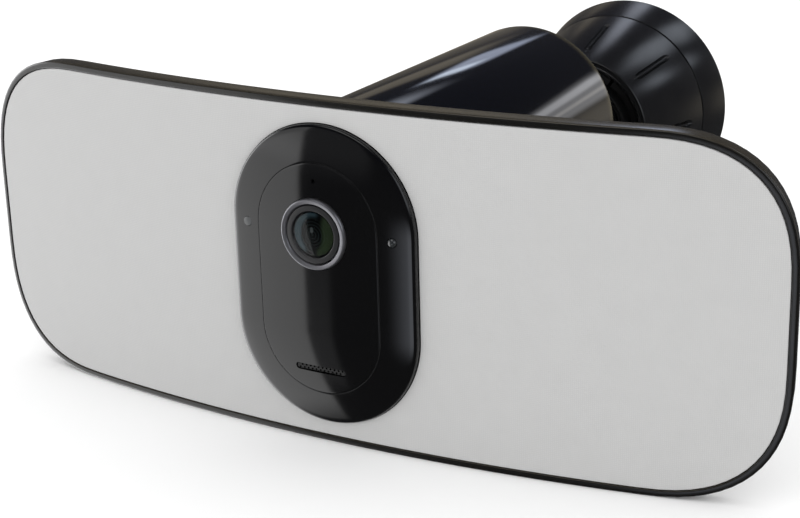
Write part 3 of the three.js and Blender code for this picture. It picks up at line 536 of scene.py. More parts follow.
def add_floor():
    """A wide pale floor that the panel's lower edge stands on."""
    mesh = bpy.data.meshes.new("floor")
    size = 12.0
    mesh.from_pydata([(-size, -size, FLOOR_Z), (size, -size, FLOOR_Z), (size, size, FLOOR_Z),
                      (-size, size, FLOOR_Z)], [], [(0, 1, 2, 3)])
    floor = bpy.data.objects.new("floor", mesh)
    bpy.context.scene.collection.objects.link(floor)
    floor.visible_glossy = False
    floor.visible_transmission = False
    material = bpy.data.materials.new("pale_floor")
    material.use_nodes = True
    shader = material.node_tree.nodes["Principled BSDF"]
    shader.inputs["Base Color"].default_value = (FLOOR_TONE, FLOOR_TONE, FLOOR_TONE, 1)
    shader.inputs["Roughness"].default_value = 1.0
    shader.inputs["Specular IOR Level"].default_value = 0.0
    mesh.materials.append(material)


# ---- materials ----

def surface(name, tone, roughness, mottle=0.08, spread=0.05, patch=14.0, grain=0.35, bump=0.004,
            stretch=(1, 1, 1), painted_top_sheen=None, **sockets):
    """A moulded or machined surface, with a paler film painted on its upward faces, a painted sheen of light
    from above, where that tone is given.

    Patch and grain are feature sizes and bump a height, in millimetres."""
    material = bpy.data.materials.new(name)
    material.use_nodes = True
    nodes, links = material.node_tree.nodes, material.node_tree.links
    shader = nodes["Principled BSDF"]
    place = nodes.new("ShaderNodeTexCoord").outputs["Object"]
    stretched = wired(nodes, links, "ShaderNodeVectorMath", {0: place, 1: stretch}, operation="MULTIPLY")
    grid = stretched.outputs[0]
    cloud = wired(nodes, links, "ShaderNodeTexNoise",
                  {"Vector": grid, "Scale": 1 / (patch * MM), "Detail": 4.0, "Roughness": 0.55})
    ramp = wired(nodes, links, "ShaderNodeValToRGB", {0: cloud.outputs[0]})
    for element, share, at in zip(ramp.color_ramp.elements, (1 - mottle, 1 + mottle), (0.3, 0.7)):
        element.color = (*(min(channel * share, 1) for channel in tone), 1)
        element.position = at
    links.new(ramp.outputs[0], shader.inputs["Base Color"])
    # Painted sheen: upward faces get a paler warm film in place of light reflected from above.
    if painted_top_sheen:
        facing = nodes.new("ShaderNodeTexCoord").outputs["Normal"]
        upward = wired(nodes, links, "ShaderNodeSeparateXYZ", {0: facing}).outputs["Z"]
        limits = {"Value": upward, "From Min": 0.25, "From Max": 0.95}
        amount = wired(nodes, links, "ShaderNodeMapRange", limits, interpolation_type="SMOOTHSTEP").outputs[0]
        add_film(shader, nodes, links, painted_top_sheen, amount)
    fine = wired(nodes, links, "ShaderNodeTexNoise",
                 {"Vector": grid, "Scale": 1 / (grain * MM), "Detail": 2.0, "Roughness": 0.6})
    both = wired(nodes, links, "ShaderNodeMath", {0: cloud.outputs[0], 1: fine.outputs[0]}, operation="ADD")
    rough = wired(nodes, links, "ShaderNodeMapRange",
                  {"Value": both.outputs[0], "From Min": 0.6, "From Max": 1.4,
                   "To Min": max(roughness - spread, 0.01), "To Max": roughness + spread})
    links.new(rough.outputs[0], shader.inputs["Roughness"])
    relief = wired(nodes, links, "ShaderNodeBump",
                   {"Strength": 1.0, "Distance": bump * MM, "Height": fine.outputs[0]})
    links.new(relief.outputs[0], shader.inputs["Normal"])
    for socket, value in sockets.items():
        shader.inputs[socket.replace("_", " ")].default_value = value
    return material


def painted_rim_highlight(material, start, peak, end, tone):
    """Adds a painted highlight: a paler film that grows and fades between depths given in millimetres along
    the head.
    """
    nodes, links = material.node_tree.nodes, material.node_tree.links
    place = nodes.new("ShaderNodeTexCoord").outputs["Object"]
    along = wired(nodes, links, "ShaderNodeSeparateXYZ", {0: place}).outputs["Y"]
    rise, fall = (wired(nodes, links, "ShaderNodeMapRange", {
        "Value": along, "From Min": (none + FRONT_Y) * MM, "From Max": (peak + FRONT_Y) * MM},
        interpolation_type="SMOOTHSTEP").outputs[0] for none in (start, end))
    amount = maths(nodes, links)("MINIMUM", rise, fall)
    add_film(nodes["Principled BSDF"], nodes, links, tone, amount)


def woven(name, tone, roughness, pitch=0.75, bump=0.022, contrast=0.06):
    """The diffuser's fine square texture: two sets of shallow ribs over a faintly mottled base."""
    material = surface(name, tone, roughness, mottle=0.012, spread=0.04, patch=9, grain=0.25, bump=0.003)
    nodes, links = material.node_tree.nodes, material.node_tree.links
    shader = nodes["Principled BSDF"]
    place = nodes.new("ShaderNodeTexCoord").outputs["Object"]
    ribs = []
    for axis in ("X", "Z"):
        wave = wired(nodes, links, "ShaderNodeTexWave",
                     {"Vector": place, "Scale": 0.31416 / (pitch * MM), "Distortion": 1.2, "Detail": 2.0,
                      "Detail Scale": 1.5}, wave_type="BANDS", bands_direction=axis, wave_profile="SIN")
        ribs.append(wave.outputs["Fac"])
    grid = maths(nodes, links)("MULTIPLY", *ribs)
    shift = wired(nodes, links, "ShaderNodeMapRange",
                  {"Value": grid, "To Min": 1 - contrast, "To Max": 1 + contrast}).outputs[0]
    base = shader.inputs["Base Color"].links[0].from_socket
    links.new(scaled(nodes, links, base, shift), shader.inputs["Base Color"])
    fine = shader.inputs["Normal"].links[0].from_node
    relief = wired(nodes, links, "ShaderNodeBump",
                   {"Strength": 1.0, "Distance": bump * MM, "Height": grid, "Normal": fine.outputs[0]})
    links.new(relief.outputs[0], shader.inputs["Normal"])
    return material


def lens_with_painted_reflections(name):
    """The dark lens with painted reflections: a teal crescent on one side, a green one opposite, faint rings
    and a pale glint, all painted into its colour.
    """
    material = surface(name, (0.004, 0.0048, 0.005), 0.06, spread=0.01, patch=6, grain=2, bump=0.0, IOR=1.1)
    nodes, links = material.node_tree.nodes, material.node_tree.links
    math = maths(nodes, links)

    def step(value, start, end):
        limits = {"Value": value, "From Min": start, "From Max": end}
        return wired(nodes, links, "ShaderNodeMapRange", limits, interpolation_type="SMOOTHSTEP").outputs[0]

    def oval(x_shift, x_half, z_shift, z_half):
        """The square of how far a point lies from an oval's centre, 1 at its edge."""
        across = math("DIVIDE", math("ADD", x, x_shift), x_half)
        up = math("DIVIDE", math("SUBTRACT", z, z_shift) if z_shift else z, z_half)
        return math("ADD", math("POWER", across, 2.0), math("POWER", up, 2.0))

    place = nodes.new("ShaderNodeTexCoord").outputs["Object"]
    parts = wired(nodes, links, "ShaderNodeSeparateXYZ", {0: place}).outputs
    x = math("DIVIDE", parts["X"], MM)
    z = math("SUBTRACT", math("DIVIDE", parts["Z"], MM), EYE_Z)
    pupil = math("SQRT", oval(0.3, 4.7, 0, 6.6))
    leftward = math("SUBTRACT", math("MULTIPLY", z, 0.35), x)
    rightward = math("SUBTRACT", x, math("MULTIPLY", z, 0.2))
    # The crescents and the rings below are painted reflections laid on the base colour.
    left = math("MULTIPLY", step(pupil, 0.9, 1.22), step(leftward, -0.5, 3.0))
    right = math("MULTIPLY", step(pupil, 0.75, 1.15), step(rightward, 1.5, 4.5))
    reach = math("SQRT", math("ADD", math("MULTIPLY", x, x), math("MULTIPLY", z, z)))
    waves = math("SINE", math("MULTIPLY", reach, 5.2))
    rings = math("MULTIPLY", step(waves, 0.1, 1.0), step(reach, 8.3, 3.0))
    # A painted highlight: a pale glint just above the lens's middle.
    painted_glint = step(oval(0.3, 0.9, 1.8, 1.5), 1.0, 0.2)
    for amount, tone in ((left, (0.060, 0.105, 0.125)), (right, (0.062, 0.092, 0.042)),
                         (rings, (0.022, 0.032, 0.032)), (painted_glint, (0.12, 0.14, 0.135))):
        add_film(nodes["Principled BSDF"], nodes, links, tone, amount)
    return material


def make_materials():
    """One material for each slot of the record, and those of single pieces."""
    made = {
        "gloss_black": surface("gloss_black", (0.0012, 0.0012, 0.0014), 0.085, mottle=0.10, spread=0.02,
                               patch=30, grain=1.6, bump=0.0006, IOR=1.5),
        "housing_gloss": surface("housing_gloss", (0.0010, 0.0012, 0.0022), 0.07, mottle=0.12, spread=0.02,
                                 patch=30, grain=2.0, bump=0.0005, stretch=(1, 0.25, 1), IOR=1.5),
        "satin_black": surface("satin_black", (0.0055, 0.0055, 0.0060), 0.21, mottle=0.10, spread=0.03,
                               grain=0.30, bump=0.0015, IOR=1.5),
        # The frame's upward faces carry a painted sheen, the olive film tone standing in for reflected light.
        "frame_black": surface("frame_black", (0.0045, 0.0041, 0.0034), 0.21, mottle=0.10, spread=0.04,
                               grain=0.35, bump=0.0004, painted_top_sheen=(0.026, 0.0215, 0.0135), IOR=1.5),
        "grille": surface("grille", (0.010, 0.010, 0.010), 0.35, grain=0.2, bump=0.006),
        "barrel_black": surface("barrel_black", (0.010, 0.010, 0.011), 0.32, mottle=0.10, grain=0.10,
                                bump=0.003),
        "rubber_black": surface("rubber_black", (0.012, 0.012, 0.012), 0.75, grain=0.2, bump=0.012),
        "inner_plastic": surface("inner_plastic", (0.006, 0.006, 0.0065), 0.60, grain=0.45, bump=0.012,
                                 Specular_IOR_Level=0.25),
        "diffuser_white": woven("diffuser_white", (0.492, 0.492, 0.489), 0.72),
        "trim_grey": surface("trim_grey", (0.20, 0.20, 0.215), 0.30, mottle=0.05, grain=0.12, bump=0.002,
                             Metallic=0.85),
        "lens_glass": surface("lens_glass", (0.90, 0.96, 0.95), 0.02, mottle=0.01, spread=0.008, patch=40,
                              grain=4, bump=0.0, IOR=1.52, Transmission_Weight=1.0),
        "cover_glass": surface("cover_glass", (0.97, 0.98, 0.98), 0.02, spread=0.005, mottle=0.005, patch=40,
                               grain=4, bump=0.0, IOR=1.18, Transmission_Weight=1.0),
        "front_glass": lens_with_painted_reflections("front_glass"),
        "rear_glass": surface("rear_glass", (0.70, 0.95, 0.60), 0.03, spread=0.005, mottle=0.02, patch=40,
                              grain=4, bump=0.0, IOR=1.8, Transmission_Weight=0.6,
                              Specular_Tint=(0.45, 0.95, 0.35, 1)),
        "smoked_window": surface("smoked_window", (0.085, 0.088, 0.090), 0.14, mottle=0.10, grain=0.5,
                                 bump=0.001, IOR=1.5),
        "clear_dome": surface("clear_dome", (0.016, 0.018, 0.019), 0.04, spread=0.01, mottle=0.02, bump=0.0,
                              IOR=1.6, Coat_Weight=0.6),
        "steel": surface("steel", (0.46, 0.455, 0.44), 0.30, mottle=0.10, spread=0.10, patch=5, grain=0.10,
                         bump=0.003, Metallic=1.0),
        "aluminium": surface("aluminium", (0.62, 0.63, 0.64), 0.38, mottle=0.05, spread=0.08, patch=8,
                             grain=0.15, bump=0.003, stretch=(0.08, 1, 1), Metallic=1.0),
        "brass": surface("brass", (0.58, 0.42, 0.17), 0.30, mottle=0.10, spread=0.08, patch=6, grain=0.10,
                         bump=0.003, stretch=(1, 6, 1), Metallic=1.0),
        "board_green": surface("board_green", (0.010, 0.070, 0.030), 0.38, mottle=0.25, spread=0.10,
                               patch=2.4, grain=0.6, bump=0.010),
        "board_white": surface("board_white", (0.72, 0.72, 0.69), 0.42, mottle=0.03, grain=0.5, bump=0.004),
        "cell_grey": surface("cell_grey", (0.055, 0.058, 0.063), 0.48, mottle=0.10, grain=0.40, bump=0.010),
    }
    # A painted highlight: an olive line of reflected light along the housing's rounded rear edge.
    painted_rim_highlight(made["housing_gloss"], BODY_REAR - 8, BODY_REAR - 1.6, BODY_REAR - 0.2, (0.050, 0.043, 0.024))
    return made


# ---- lamp ----

def make_lamp():
    ledge = DIFFUSER_BACK + GAP
    frame_outline = [
        (0, 0, 0.9), (LIP, 0, 0.35), (LIP, ledge, 0), (LIP + 3, ledge, 0.2), (LIP + 3, LEDGE_BACK, 0.2),
        (LIP, LEDGE_BACK, 0), (LIP, RIM_DEPTH, 0.3), (0, RIM_DEPTH, 2.4)]
    finished("light_frame", lamp_shape(rounded(frame_outline, closed=True), closed=True))

    edge = LIP + GAP
    diffuser = lamp_shape(rounded([
        (edge + 2, 0.1, 0), (edge, 0.1, 0.5), (edge, DIFFUSER_BACK, 0.3), (edge + 2, DIFFUSER_BACK, 0)]))
    pocket = rod(FACE_RADIUS + GAP, -30, 60, segments=ROUND, straight=PILL_STRAIGHT)
    finished("diffuser", carve(diffuser, pocket))

    inner = SPINE_INSET + 2.5
    floor = SPINE_DEPTH - COVER_WALL
    cover = lamp_shape(rounded([
        (inner + 2, floor, 0), (inner, floor, 0.4), (inner, COVER_FRONT, 0.2), (edge, COVER_FRONT, 0.2),
        (edge, RIM_DEPTH, 0.6), (SPINE_INSET - 1.2, RIM_DEPTH, 2.6), (SPINE_INSET + 1, SPINE_DEPTH, 2.6),
        (SPINE_INSET + 6, SPINE_DEPTH, 0)]))
    core = CORE_RADIUS + GAP
    neck = tube(BODY_RADIUS, core, RIM_DEPTH - 1, BODY_FRONT - 1, 0.5, straight=PILL_STRAIGHT)
    cover = carve(cover, neck, operation="UNION")
    tools = [rod(core, 0, 40, segments=ROUND, straight=PILL_STRAIGHT)]
    across, up = CHARGE_PORT["across"] + GAP, CHARGE_PORT["up"] + GAP
    port = block(-across, across, -8, 4, -up, up, 0.8)
    tools.append(stood(port, CHARGE_PORT["x"], CHARGE_PORT["z"], SPINE_DEPTH))
    button = rod(SYNC_BUTTON["radius"] + GAP, -8, 4)
    tools.append(stood(button, SYNC_BUTTON["x"], SYNC_BUTTON["z"], SPINE_DEPTH))
    sink = RIM_DEPTH - SCREW_SINK
    for x, z in COVER_SCREWS:
        tools.append(stood(screw_hole(8.3, -1), x, z, sink))
    finished("back_cover", carve(cover, *tools, edge=0.25))
    for i, (x, z) in enumerate(COVER_SCREWS):
        px, py, _ = on_curve(x, sink)
        screw = placed(make_screw(4.6), px, py, z, turn_z=bend_angle(x) + pi)
        finished(f"cover_screw_{i + 1}", screw)

    front, back, inside = LEDGE_BACK + GAP, COVER_FRONT - GAP, LIP + 1.6
    seal_outline = [(edge, front, 0.4), (inside, front, 0.4), (inside, back, 0.4), (edge, back, 0.4)]
    finished("panel_seal", lamp_shape(rounded(seal_outline, closed=True, steps=3), closed=True))
    ring = tube(BODY_RADIUS - 0.6, BODY_RADIUS - BODY_WALL + 0.4, BODY_FRONT - 1 + GAP, BODY_FRONT - GAP,
                0.15, straight=PILL_STRAIGHT)
    finished("housing_seal", ring)


def screw_hole(depth, way=1):
    """The tool for a screw's hole along +Y or -Y, its head's seat a little behind y = 0."""
    head, shank = SCREW_HEAD + GAP, SCREW_SHANK + GAP
    seat = 1.5 * way
    return turned([(0, -5 * way), (head, -5 * way), (head, seat), (shank, seat), (shank, depth * way),
                   (0, depth * way)], 32)


def make_screw(length):
    """A socket-head screw along +Y, its head's top at y = 0."""
    head, shank = SCREW_HEAD, SCREW_SHANK
    outline = [(0, 0, 0), (head, 0, 0.25), (head, 1.2, 0.1), (shank, 1.2, 0.1)]
    pitch = 0.5
    turns = int((length - 1.8) / pitch)
    for i in range(turns):
        y = 1.6 + i * pitch
        outline += [(shank, y, 0), (shank - 0.22, y + pitch / 2, 0)]
    outline += [(shank, length - 0.2, 0), (shank - 0.3, length, 0), (0, length, 0)]
    body = turned(rounded(outline, steps=3), SMALL_ROUND)
    return carve(body, turned([(0, -1), (head * 0.5, -1), (head * 0.5, 0.8), (0, 0.8)], 6), edge=0.05)


# ---- port and buttons on the lamp's back ----

def make_lamp_controls():
    x, z, across, up = CHARGE_PORT["x"], CHARGE_PORT["z"], CHARGE_PORT["across"], CHARGE_PORT["up"]
    flap = block(-across, across, -1.9, -0.1, -up, up, 0.5)
    pull = block(-3.2, 3.2, -0.9, 1, -up + 0.5, -up + 1.7, 0.2)
    finished("port_cover", stood(carve(flap, pull, edge=0.1), x, z, SPINE_DEPTH))

    radius = SYNC_BUTTON["radius"]
    dish = [(radius * 0.72 * i / 6, 1.0 - 0.35 * (1 - (i / 6) ** 2), 0) for i in range(7)][::-1]
    cap = turned(rounded([
        (0, -5, 0), (5.4, -5, 0.3), (5.4, -2.7, 0.3), (radius, -2.7, 0.1), (radius, 1.2, 0.5),
        (radius * 0.82, 1.2, 0.3), *dish]), 64)
    finished("sync_button", stood(cap, SYNC_BUTTON["x"], SYNC_BUTTON["z"], SPINE_DEPTH))


# ---- camera face ----

def slot_tool(half_height, y1, y2, edge=0.0):
    """The speaker slot's shape: a flat pill along X."""
    end = (SPEAKER_WIDTH - SPEAKER_HEIGHT) / 2
    plug = rod(half_height, y1, y2, edge, 48, end)
    return placed(plug, z=SPEAKER_Z, turn_y=pi / 2)


def make_face():
    edge_start = SEAM_RADIUS + 0.14
    inner = edge_start + 2.4
    front = [(edge_start, -face_rise(edge_start), 0.12), *crown(edge_start + 0.7, FACE_RADIUS - 2.6, 18)]
    ring = turned(rounded([
        *front, (FACE_RADIUS, -FACE_EDGE_RISE, 2.0), (FACE_RADIUS, 3, 0.3), (inner, 3, 0.3), (inner, -2, 0.1),
        (edge_start, -2.6, 0.1)], closed=True), 128, PILL_STRAIGHT, closed=True)
    hole = WINDOW_RADIUS + 0.12
    socket = [(0, -12), (WINDOW_RADIUS + 0.5, -12), (hole, -3.3), (hole, 8), (0, 8)]
    sockets = [placed(turned(socket, SMALL_ROUND), x=x, z=EYE_Z) for x in (-SENSOR_X, SENSOR_X)]
    finished("face_ring", carve(ring, *sockets, edge=0.06))

    plate = turned(rounded([
        *crown(0, SEAM_RADIUS - 0.7, 22), (SEAM_RADIUS, -face_rise(SEAM_RADIUS), 0.12),
        (SEAM_RADIUS, -2.6, 0.1),
        (SEAM_RADIUS - 2, -2.2, 0.1), (SEAM_RADIUS - 2, 3, 0.3), (SEAM_RADIUS - 4, 3, 0.3),
        (SEAM_RADIUS - 4, -3.4, 0.1), (0, -3.4, 0)]), 128, PILL_STRAIGHT)
    eye = placed(rod(EYE_RADIUS + 0.2, -12, 8, segments=ROUND), z=EYE_Z)
    mic = placed(rod(0.75, -12, 8, segments=24), z=MIC_Z)
    finished("face_plate", carve(plate, eye, mic, slot_tool(SPEAKER_HEIGHT / 2, -12, 0), edge=0.08))

    # The grille: a bar in the slot, with a pad behind it and two rows of round holes.
    bar = slot_tool(SPEAKER_HEIGHT / 2 - 0.12, -5.6, -1.4, 0.3)
    end = (SPEAKER_WIDTH - SPEAKER_HEIGHT) / 2 + 0.8
    pad = block(-end, end, -3.1, -1.4, SPEAKER_Z - 2.2, SPEAKER_Z + 2.2, 0.2)
    grille = carve(bar, pad, operation="UNION")
    holes = [placed(rod(0.42, -8, 2, segments=16), x=i * 1.8 + row * 0.45, z=SPEAKER_Z + row * 0.55)
             for i in range(-5, 6) for row in (-1, 1)]
    finished("speaker_grille", carve(grille, joined(*holes)), MATERIALS["grille"])

    # The round window of the light sensor and the clear dome of the status light.
    foot = [(WINDOW_RADIUS, 3.3, 0), (SENSOR_RADIUS + 1, 3.3, 0.1), (SENSOR_RADIUS + 1, 4, 0.1), (0, 4, 0)]
    window = turned(rounded([(0, -4.0, 0), (WINDOW_RADIUS, -3.9, 0.15), *foot]), 48)
    finished("light_window", placed(window, x=-SENSOR_X, z=EYE_Z), MATERIALS["smoked_window"])
    dome = [(WINDOW_RADIUS * sin(a), -3.5 - 1.6 * cos(a), 0) for a in (pi / 2 * i / 8 for i in range(9))]
    status = turned(rounded([*dome, *foot]), 48)
    finished("status_dome", placed(status, x=SENSOR_X, z=EYE_Z), MATERIALS["clear_dome"])


def sphere_zone(radius, depth, reach, count):
    """Outline points of a dome about the axis whose top is at a depth and whose edge is at a reach."""
    points = []
    for i in range(count + 1):
        r = reach * i / count
        points.append((r, depth + radius - sqrt(radius * radius - r * r), 0))
    return points


def make_eye():
    outer = EYE_RADIUS
    glass = 8.95                                  # radius of the lens seen inside its dark bezel
    ring = turned(rounded([
        (outer - 2.4, -7.0, 0.1), (outer - 1.9, -8.15, 0.25), (outer - 0.35, -8.4, 0.5), (outer, -7.6, 0.4),
        (outer, -2, 0.2), (outer - 4, -2, 0.2), (outer - 4, -4.4, 0.1), (outer - 2.4, -4.4, 0.1)],
        closed=True), ROUND, closed=True)
    finished("lens_trim_ring", placed(ring, z=EYE_Z))

    bezel = turned(rounded([
        (glass, -7.35, 0.1), (glass + 0.4, -7.9, 0.15), (outer - 2.6, -7.8, 0.2), (outer - 2.6, -6.7, 0.1),
        (glass, -6.7, 0.1)], closed=True), ROUND, closed=True)
    finished("lens_barrel", placed(bezel, z=EYE_Z), MATERIALS["barrel_black"], name="lens_bezel")

    reach = outer - 2.55
    cover = turned(rounded([
        *sphere_zone(48, -8.4, glass - 0.2, 14), (glass - 0.1, -6.5, 0.15), (reach, -6.5, 0.2),
        (reach, -6.0, 0.2), (glass - 0.3, -6.0, 0.1),
        *sphere_zone(46, -8.05, glass - 0.45, 10)[::-1]]), ROUND)
    finished("lens_cover", placed(cover, z=EYE_Z), MATERIALS["cover_glass"])

    # The barrel: a flat front ring, then steps down to the stop.
    steps = [(8.9, -5.0), (8.9, -3.6), (8.4, -3.6), (8.4, 0.6), (6.6, 1.6), (6.6, 3.0), (5.6, 3.4),
             (5.6, 6.1), (3.4, 6.4), (3.4, 10.5), (9.6, 10.5), (9.6, -5.0)]
    barrel = turned(rounded([(*point, 0.18) for point in steps], closed=True, steps=3), ROUND, closed=True)
    finished("lens_barrel", placed(barrel, z=EYE_Z), MATERIALS["barrel_black"])

    front = turned(rounded([
        *sphere_zone(44, -7.9, 8.4, 24), (8.45, -6.2, 0.1), (8.25, -5.4, 0.1), (8.25, 0.2, 0.2),
        (6.2, 0.6, 0.1),
        *[(r, 0.6 - 1.6 * (1 - (r / 6.0) ** 2), 0) for r in (6.0, 5, 4, 3, 2, 1, 0)]]), ROUND)
    finished("front_lens", placed(front, z=EYE_Z), MATERIALS["front_glass"])
    rear = turned(rounded([
        *sphere_zone(7.2, 1.4, 5.3, 12), (5.4, 4.6, 0.1), (5.4, 5.6, 0.2), (0, 5.6, 0)]), ROUND)
    finished("rear_lens", placed(rear, z=EYE_Z), MATERIALS["rear_glass"])


# ---- housing ----

def fillet(radius, size, y, steps=12):
    """Outline points of a rounded rear edge."""
    angles = [pi / 2 * i / steps for i in range(steps + 1)]
    return [(radius - size * (1 - cos(a)), y - size * (1 - sin(a)), 0) for a in angles]


def make_housing():
    inside = BODY_RADIUS - BODY_WALL
    floor_z = -PILL_STRAIGHT - inside
    shell = turned(rounded([
        (0, BODY_REAR, 0), *fillet(BODY_RADIUS, BODY_FILLET, BODY_REAR)[::-1], (BODY_RADIUS, BODY_FRONT, 0.8),
        (inside, BODY_FRONT, 0.3), *fillet(inside, 1.5, BODY_REAR - REAR_WALL, 5),
        (0, BODY_REAR - REAR_WALL, 0)]), 144, PILL_STRAIGHT)
    stud_hole = rod(STUD_RADIUS + GAP, BODY_REAR - 10, BODY_REAR + 5)
    button_hole = block(-8.3, 8.3, BUTTON_Y - 6.3, BUTTON_Y + 6.3, -66, -56, 1.2)
    screw_z = floor_z - BODY_WALL + 0.6
    sinks = [placed(screw_hole(6.7), x, BUTTON_Y - 14, screw_z, turn_x=pi / 2) for x in BRACKET_SCREWS]
    shell = carve(shell, stud_hole, button_hole, *sinks, edge=0.15)
    finished("housing_shell", shell, MATERIALS["housing_gloss"])
    for i, x in enumerate(BRACKET_SCREWS):
        screw = placed(make_screw(6.4), x, BUTTON_Y - 14, screw_z, turn_x=pi / 2)
        finished(f"bracket_screw_{i + 1}", screw)

    button = block(-8, 8, BUTTON_Y - 6, BUTTON_Y + 6, floor_z - 3, floor_z + 2.2, 0.9)
    foot = block(-8.6, 8.6, BUTTON_Y - 6.6, BUTTON_Y + 6.6, floor_z + 1.2, floor_z + 3, 0.3)
    button = carve(button, foot, operation="UNION")
    grooves = []
    for y in (-3, 0, 3):
        groove = rod(0.7, -5.6, 5.6, 0.6, 24)
        grooves.append(placed(groove, 0, BUTTON_Y + y, floor_z - 3, turn_z=pi / 2))
    finished("release_button", carve(button, *grooves, edge=0.08))

    # Spring wire between the button and its bracket.
    wire, coil, bottom, height, turns = 0.4, 3.4, floor_z + 3.9, 4.3, 3
    ring_steps, wire_steps = 40, 12
    rings = []
    for i in range(ring_steps * turns + 1):
        share = i / (ring_steps * turns)
        angle = 2 * pi * turns * share
        out = Vector((cos(angle), sin(angle), 0))
        centre = out * coil + Vector((0, BUTTON_Y, bottom + height * share))
        rings.append([tuple(centre + out * wire * cos(b) + Vector((0, 0, wire * sin(b))))
                      for b in (2 * pi * k / wire_steps for k in range(wire_steps))])
    points, faces = rings_to_faces(rings, False)
    faces += [tuple(range(wire_steps)), tuple(range(len(points) - wire_steps, len(points)))[::-1]]
    finished("release_spring", shape_from(points, faces))

    flange = BODY_REAR + 2.4
    ball_y = BALL_Y - FRONT_Y
    neck_angle = asin(NECK_RADIUS / BALL_RADIUS)
    ball = []
    for i in range(1, 25):
        angle = neck_angle + (pi - neck_angle) * i / 24
        ball.append((BALL_RADIUS * sin(angle) if i < 24 else 0, ball_y - BALL_RADIUS * cos(angle), 0))
    stud = turned(rounded([
        (0, BODY_REAR - 13, 0), (STUD_RADIUS - 1, BODY_REAR - 13, 0), (STUD_RADIUS, BODY_REAR - 12, 0.2),
        (STUD_RADIUS, flange, 0.1),
        (18, flange, 0.6), (18, flange + 3.5, 1.2), (13, flange + 6, 3), (9.6, flange + 11, 6),
        (NECK_RADIUS, flange + 18, 3), (NECK_RADIUS, ball_y - BALL_RADIUS * cos(neck_angle), 0.5),
        *ball]), ROUND)
    finished("ball_stud", stud)
    finished("stud_washer", tube(19.5, STUD_RADIUS + GAP, BODY_REAR + GAP, flange - GAP, 0.5))


# ---- mount on the wall ----

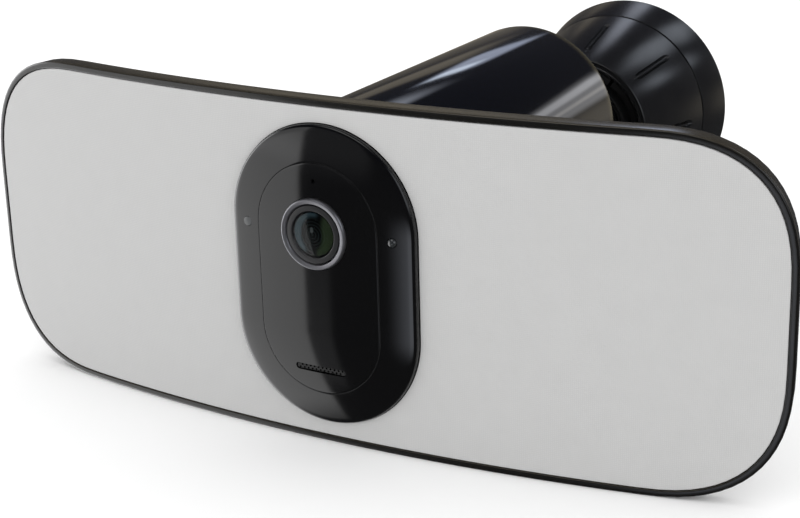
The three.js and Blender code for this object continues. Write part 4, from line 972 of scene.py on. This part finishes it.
def make_mount():
    seam = COLLAR_SEAM_RADIUS
    bore = POST_RADIUS + 0.4
    thread_end = COLLAR_SEAM_Y - 14
    lip_y = BALL_Y - 8
    collar = turned(rounded([
        (bore, thread_end, 0.2), (bore, lip_y - 0.6, 0.2), (bore - 1.8, lip_y - 1.6, 0.6),
        (31.4, COLLAR_MOUTH_Y + 1.4, 0.6), (33, COLLAR_MOUTH_Y, 0.8),
        (COLLAR_MOUTH_RADIUS - 0.2, COLLAR_MOUTH_Y, 1.0), (seam - 0.2, COLLAR_SEAM_Y - 0.3, 0.25),
        (seam - 3, COLLAR_SEAM_Y - 0.3, 0.3), (bore + 3.6, thread_end, 0.5)],
        closed=True), 144, closed=True)
    slope = atan2(seam - COLLAR_MOUTH_RADIUS, COLLAR_SEAM_Y - COLLAR_MOUTH_Y)
    notch_y = (COLLAR_SEAM_Y + COLLAR_MOUTH_Y) / 2
    notch_radius = seam + (notch_y - COLLAR_SEAM_Y) * tan(slope) + 0.6
    notches = []
    for i in range(NOTCHES):
        spindle = turned([(0, -18.5), (0.9, -16), (1.85, -12), (1.85, 11), (1.1, 13.2), (0, 14.5)], 16)
        ridge = turned([(0, -14), (0.75, -12), (0.75, 10), (0, 12)], 12)
        for part, deep in ((spindle, 1.15), (ridge, 2.2)):
            part.data.transform(Matrix.Diagonal((deep, 1, 1, 1)))
        carve(spindle, placed(ridge, x=-2.1))
        placed(spindle, notch_radius, notch_y, 0, turn_z=-slope)
        notches.append(placed(spindle, turn_y=2 * pi * i / NOTCHES))
    finished("clamp_collar", carve(collar, *notches, edge=0.18), head=False)

    inside = seam - 4
    base = turned(rounded([
        (0, -11, 0), (inside, -11, 0.5), (inside, COLLAR_SEAM_Y + GAP, 0.3),
        (seam, COLLAR_SEAM_Y + 0.4, 0.25),
        (BASE_RADIUS, -0.9, 0.8), (BASE_RADIUS - 0.3, 0, 0.3), (BASE_RADIUS - 2.6, 0, 0.4), (seam, -8, 0.4),
        (0, -8, 0)]), 144)
    bolt_hole = rod(2.9, -20, 0)
    lock_hole = placed(rod(2, -60, 0), y=-3.2, turn_x=pi / 2)
    finished("mount_base", carve(base, bolt_hole, lock_hole, edge=0.15), head=False)
    lock = turned(rounded([(0, 0, 0), (1.7, 0, 0.25), (1.7, 4.2, 0.2), (0, 4.2, 0)]), SMALL_ROUND)
    lock = carve(lock, turned([(0, -1), (0.85, -1), (0.85, 1.4), (0, 1.4)], 6), edge=0.04)
    finished("base_lock_screw", placed(lock, y=-3.2, z=-47.4, turn_x=-pi / 2), head=False)

    plate = turned(rounded([(0, -4, 0), (PLATE_RADIUS, -4, 0.8), (PLATE_RADIUS, 0, 0.4), (0, 0, 0)]), 128)
    holes = []
    for angle in (90, 210, 330):
        hole = turned([(0, -9), (4.6, -9), (4.6, -3), (2.4, -1.2), (2.4, 5), (0, 5)], 40)
        x, z = (WALL_HOLE_RING * turn(radians(angle)) for turn in (cos, sin))
        holes.append(placed(hole, x=x, z=z))
    finished("wall_plate", carve(plate, *holes, edge=0.15), head=False)
    bolt = turned(rounded([
        (0, -16.5, 0), (2.6, -16.5, 0.3), (2.6, -7.7, 0.1), (5, -7.7, 0.2), (5, -5, 0.6), (0, -5, 0)]),
        SMALL_ROUND)
    finished("post_bolt", bolt, head=False)

    for node, inside_radius in (("tilt_ring", BALL_RADIUS + 0.5), ("pan_ring", BALL_RADIUS + 3)):
        outline = []
        open_angle = radians(62)
        for radius, order in ((inside_radius + 2, range(25)), (inside_radius, range(24, -1, -1))):
            for i in order:
                angle = open_angle + (pi - 2 * open_angle) * i / 24
                corner = 0.3 if i in (0, 24) else 0
                outline.append((radius * sin(angle), BALL_Y - radius * cos(angle), corner))
        finished(node, turned(rounded(outline, closed=True, steps=3), ROUND, closed=True), head=False)


# ---- inside the head ----

def make_battery():
    low, high = (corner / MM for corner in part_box("battery_pack"))
    low, high = low - Vector((0, FRONT_Y, 0)), high - Vector((0, FRONT_Y, 0))
    pack = block(low.x, high.x, low.y, high.y, low.z, high.z, 0)
    work = bmesh.new()
    work.from_mesh(pack.data)
    long_edges = [e for e in work.edges if abs((e.verts[0].co - e.verts[1].co).y) > 10 * MM]
    bmesh.ops.bevel(work, geom=long_edges, offset=7 * MM, segments=10, profile=0.5, affect="EDGES")
    rims = [e for e in work.edges if abs((e.verts[0].co - e.verts[1].co).y) < 0.1 * MM]
    bmesh.ops.bevel(work, geom=rims, offset=1.5 * MM, segments=4, profile=0.5, affect="EDGES")
    work.to_mesh(pack.data)
    work.free()
    shade(pack.data)
    grip = block(-9, 9, high.y - 2, high.y + 2, -2.5, 2.5, 0.8)
    finished("battery_pack", carve(pack, grip, edge=0.2))


def dress_cad_nodes():
    """Every CAD node still showing gets its slot's material."""
    for node, shown in frame["nodes"].items():
        if shown.hide_render:
            continue
        material = MATERIALS[SLOT_OF[node]]
        if not shown.material_slots:
            shown.data.materials.append(material)
        for material_slot in shown.material_slots:
            material_slot.material = material


bpy.context.scene.view_settings.view_transform = "Standard"
add_camera()
add_world()
add_floor()
MATERIALS = make_materials()

make_lamp()
make_lamp_controls()
make_face()
make_eye()
make_housing()
make_mount()
make_battery()
dress_cad_nodes()
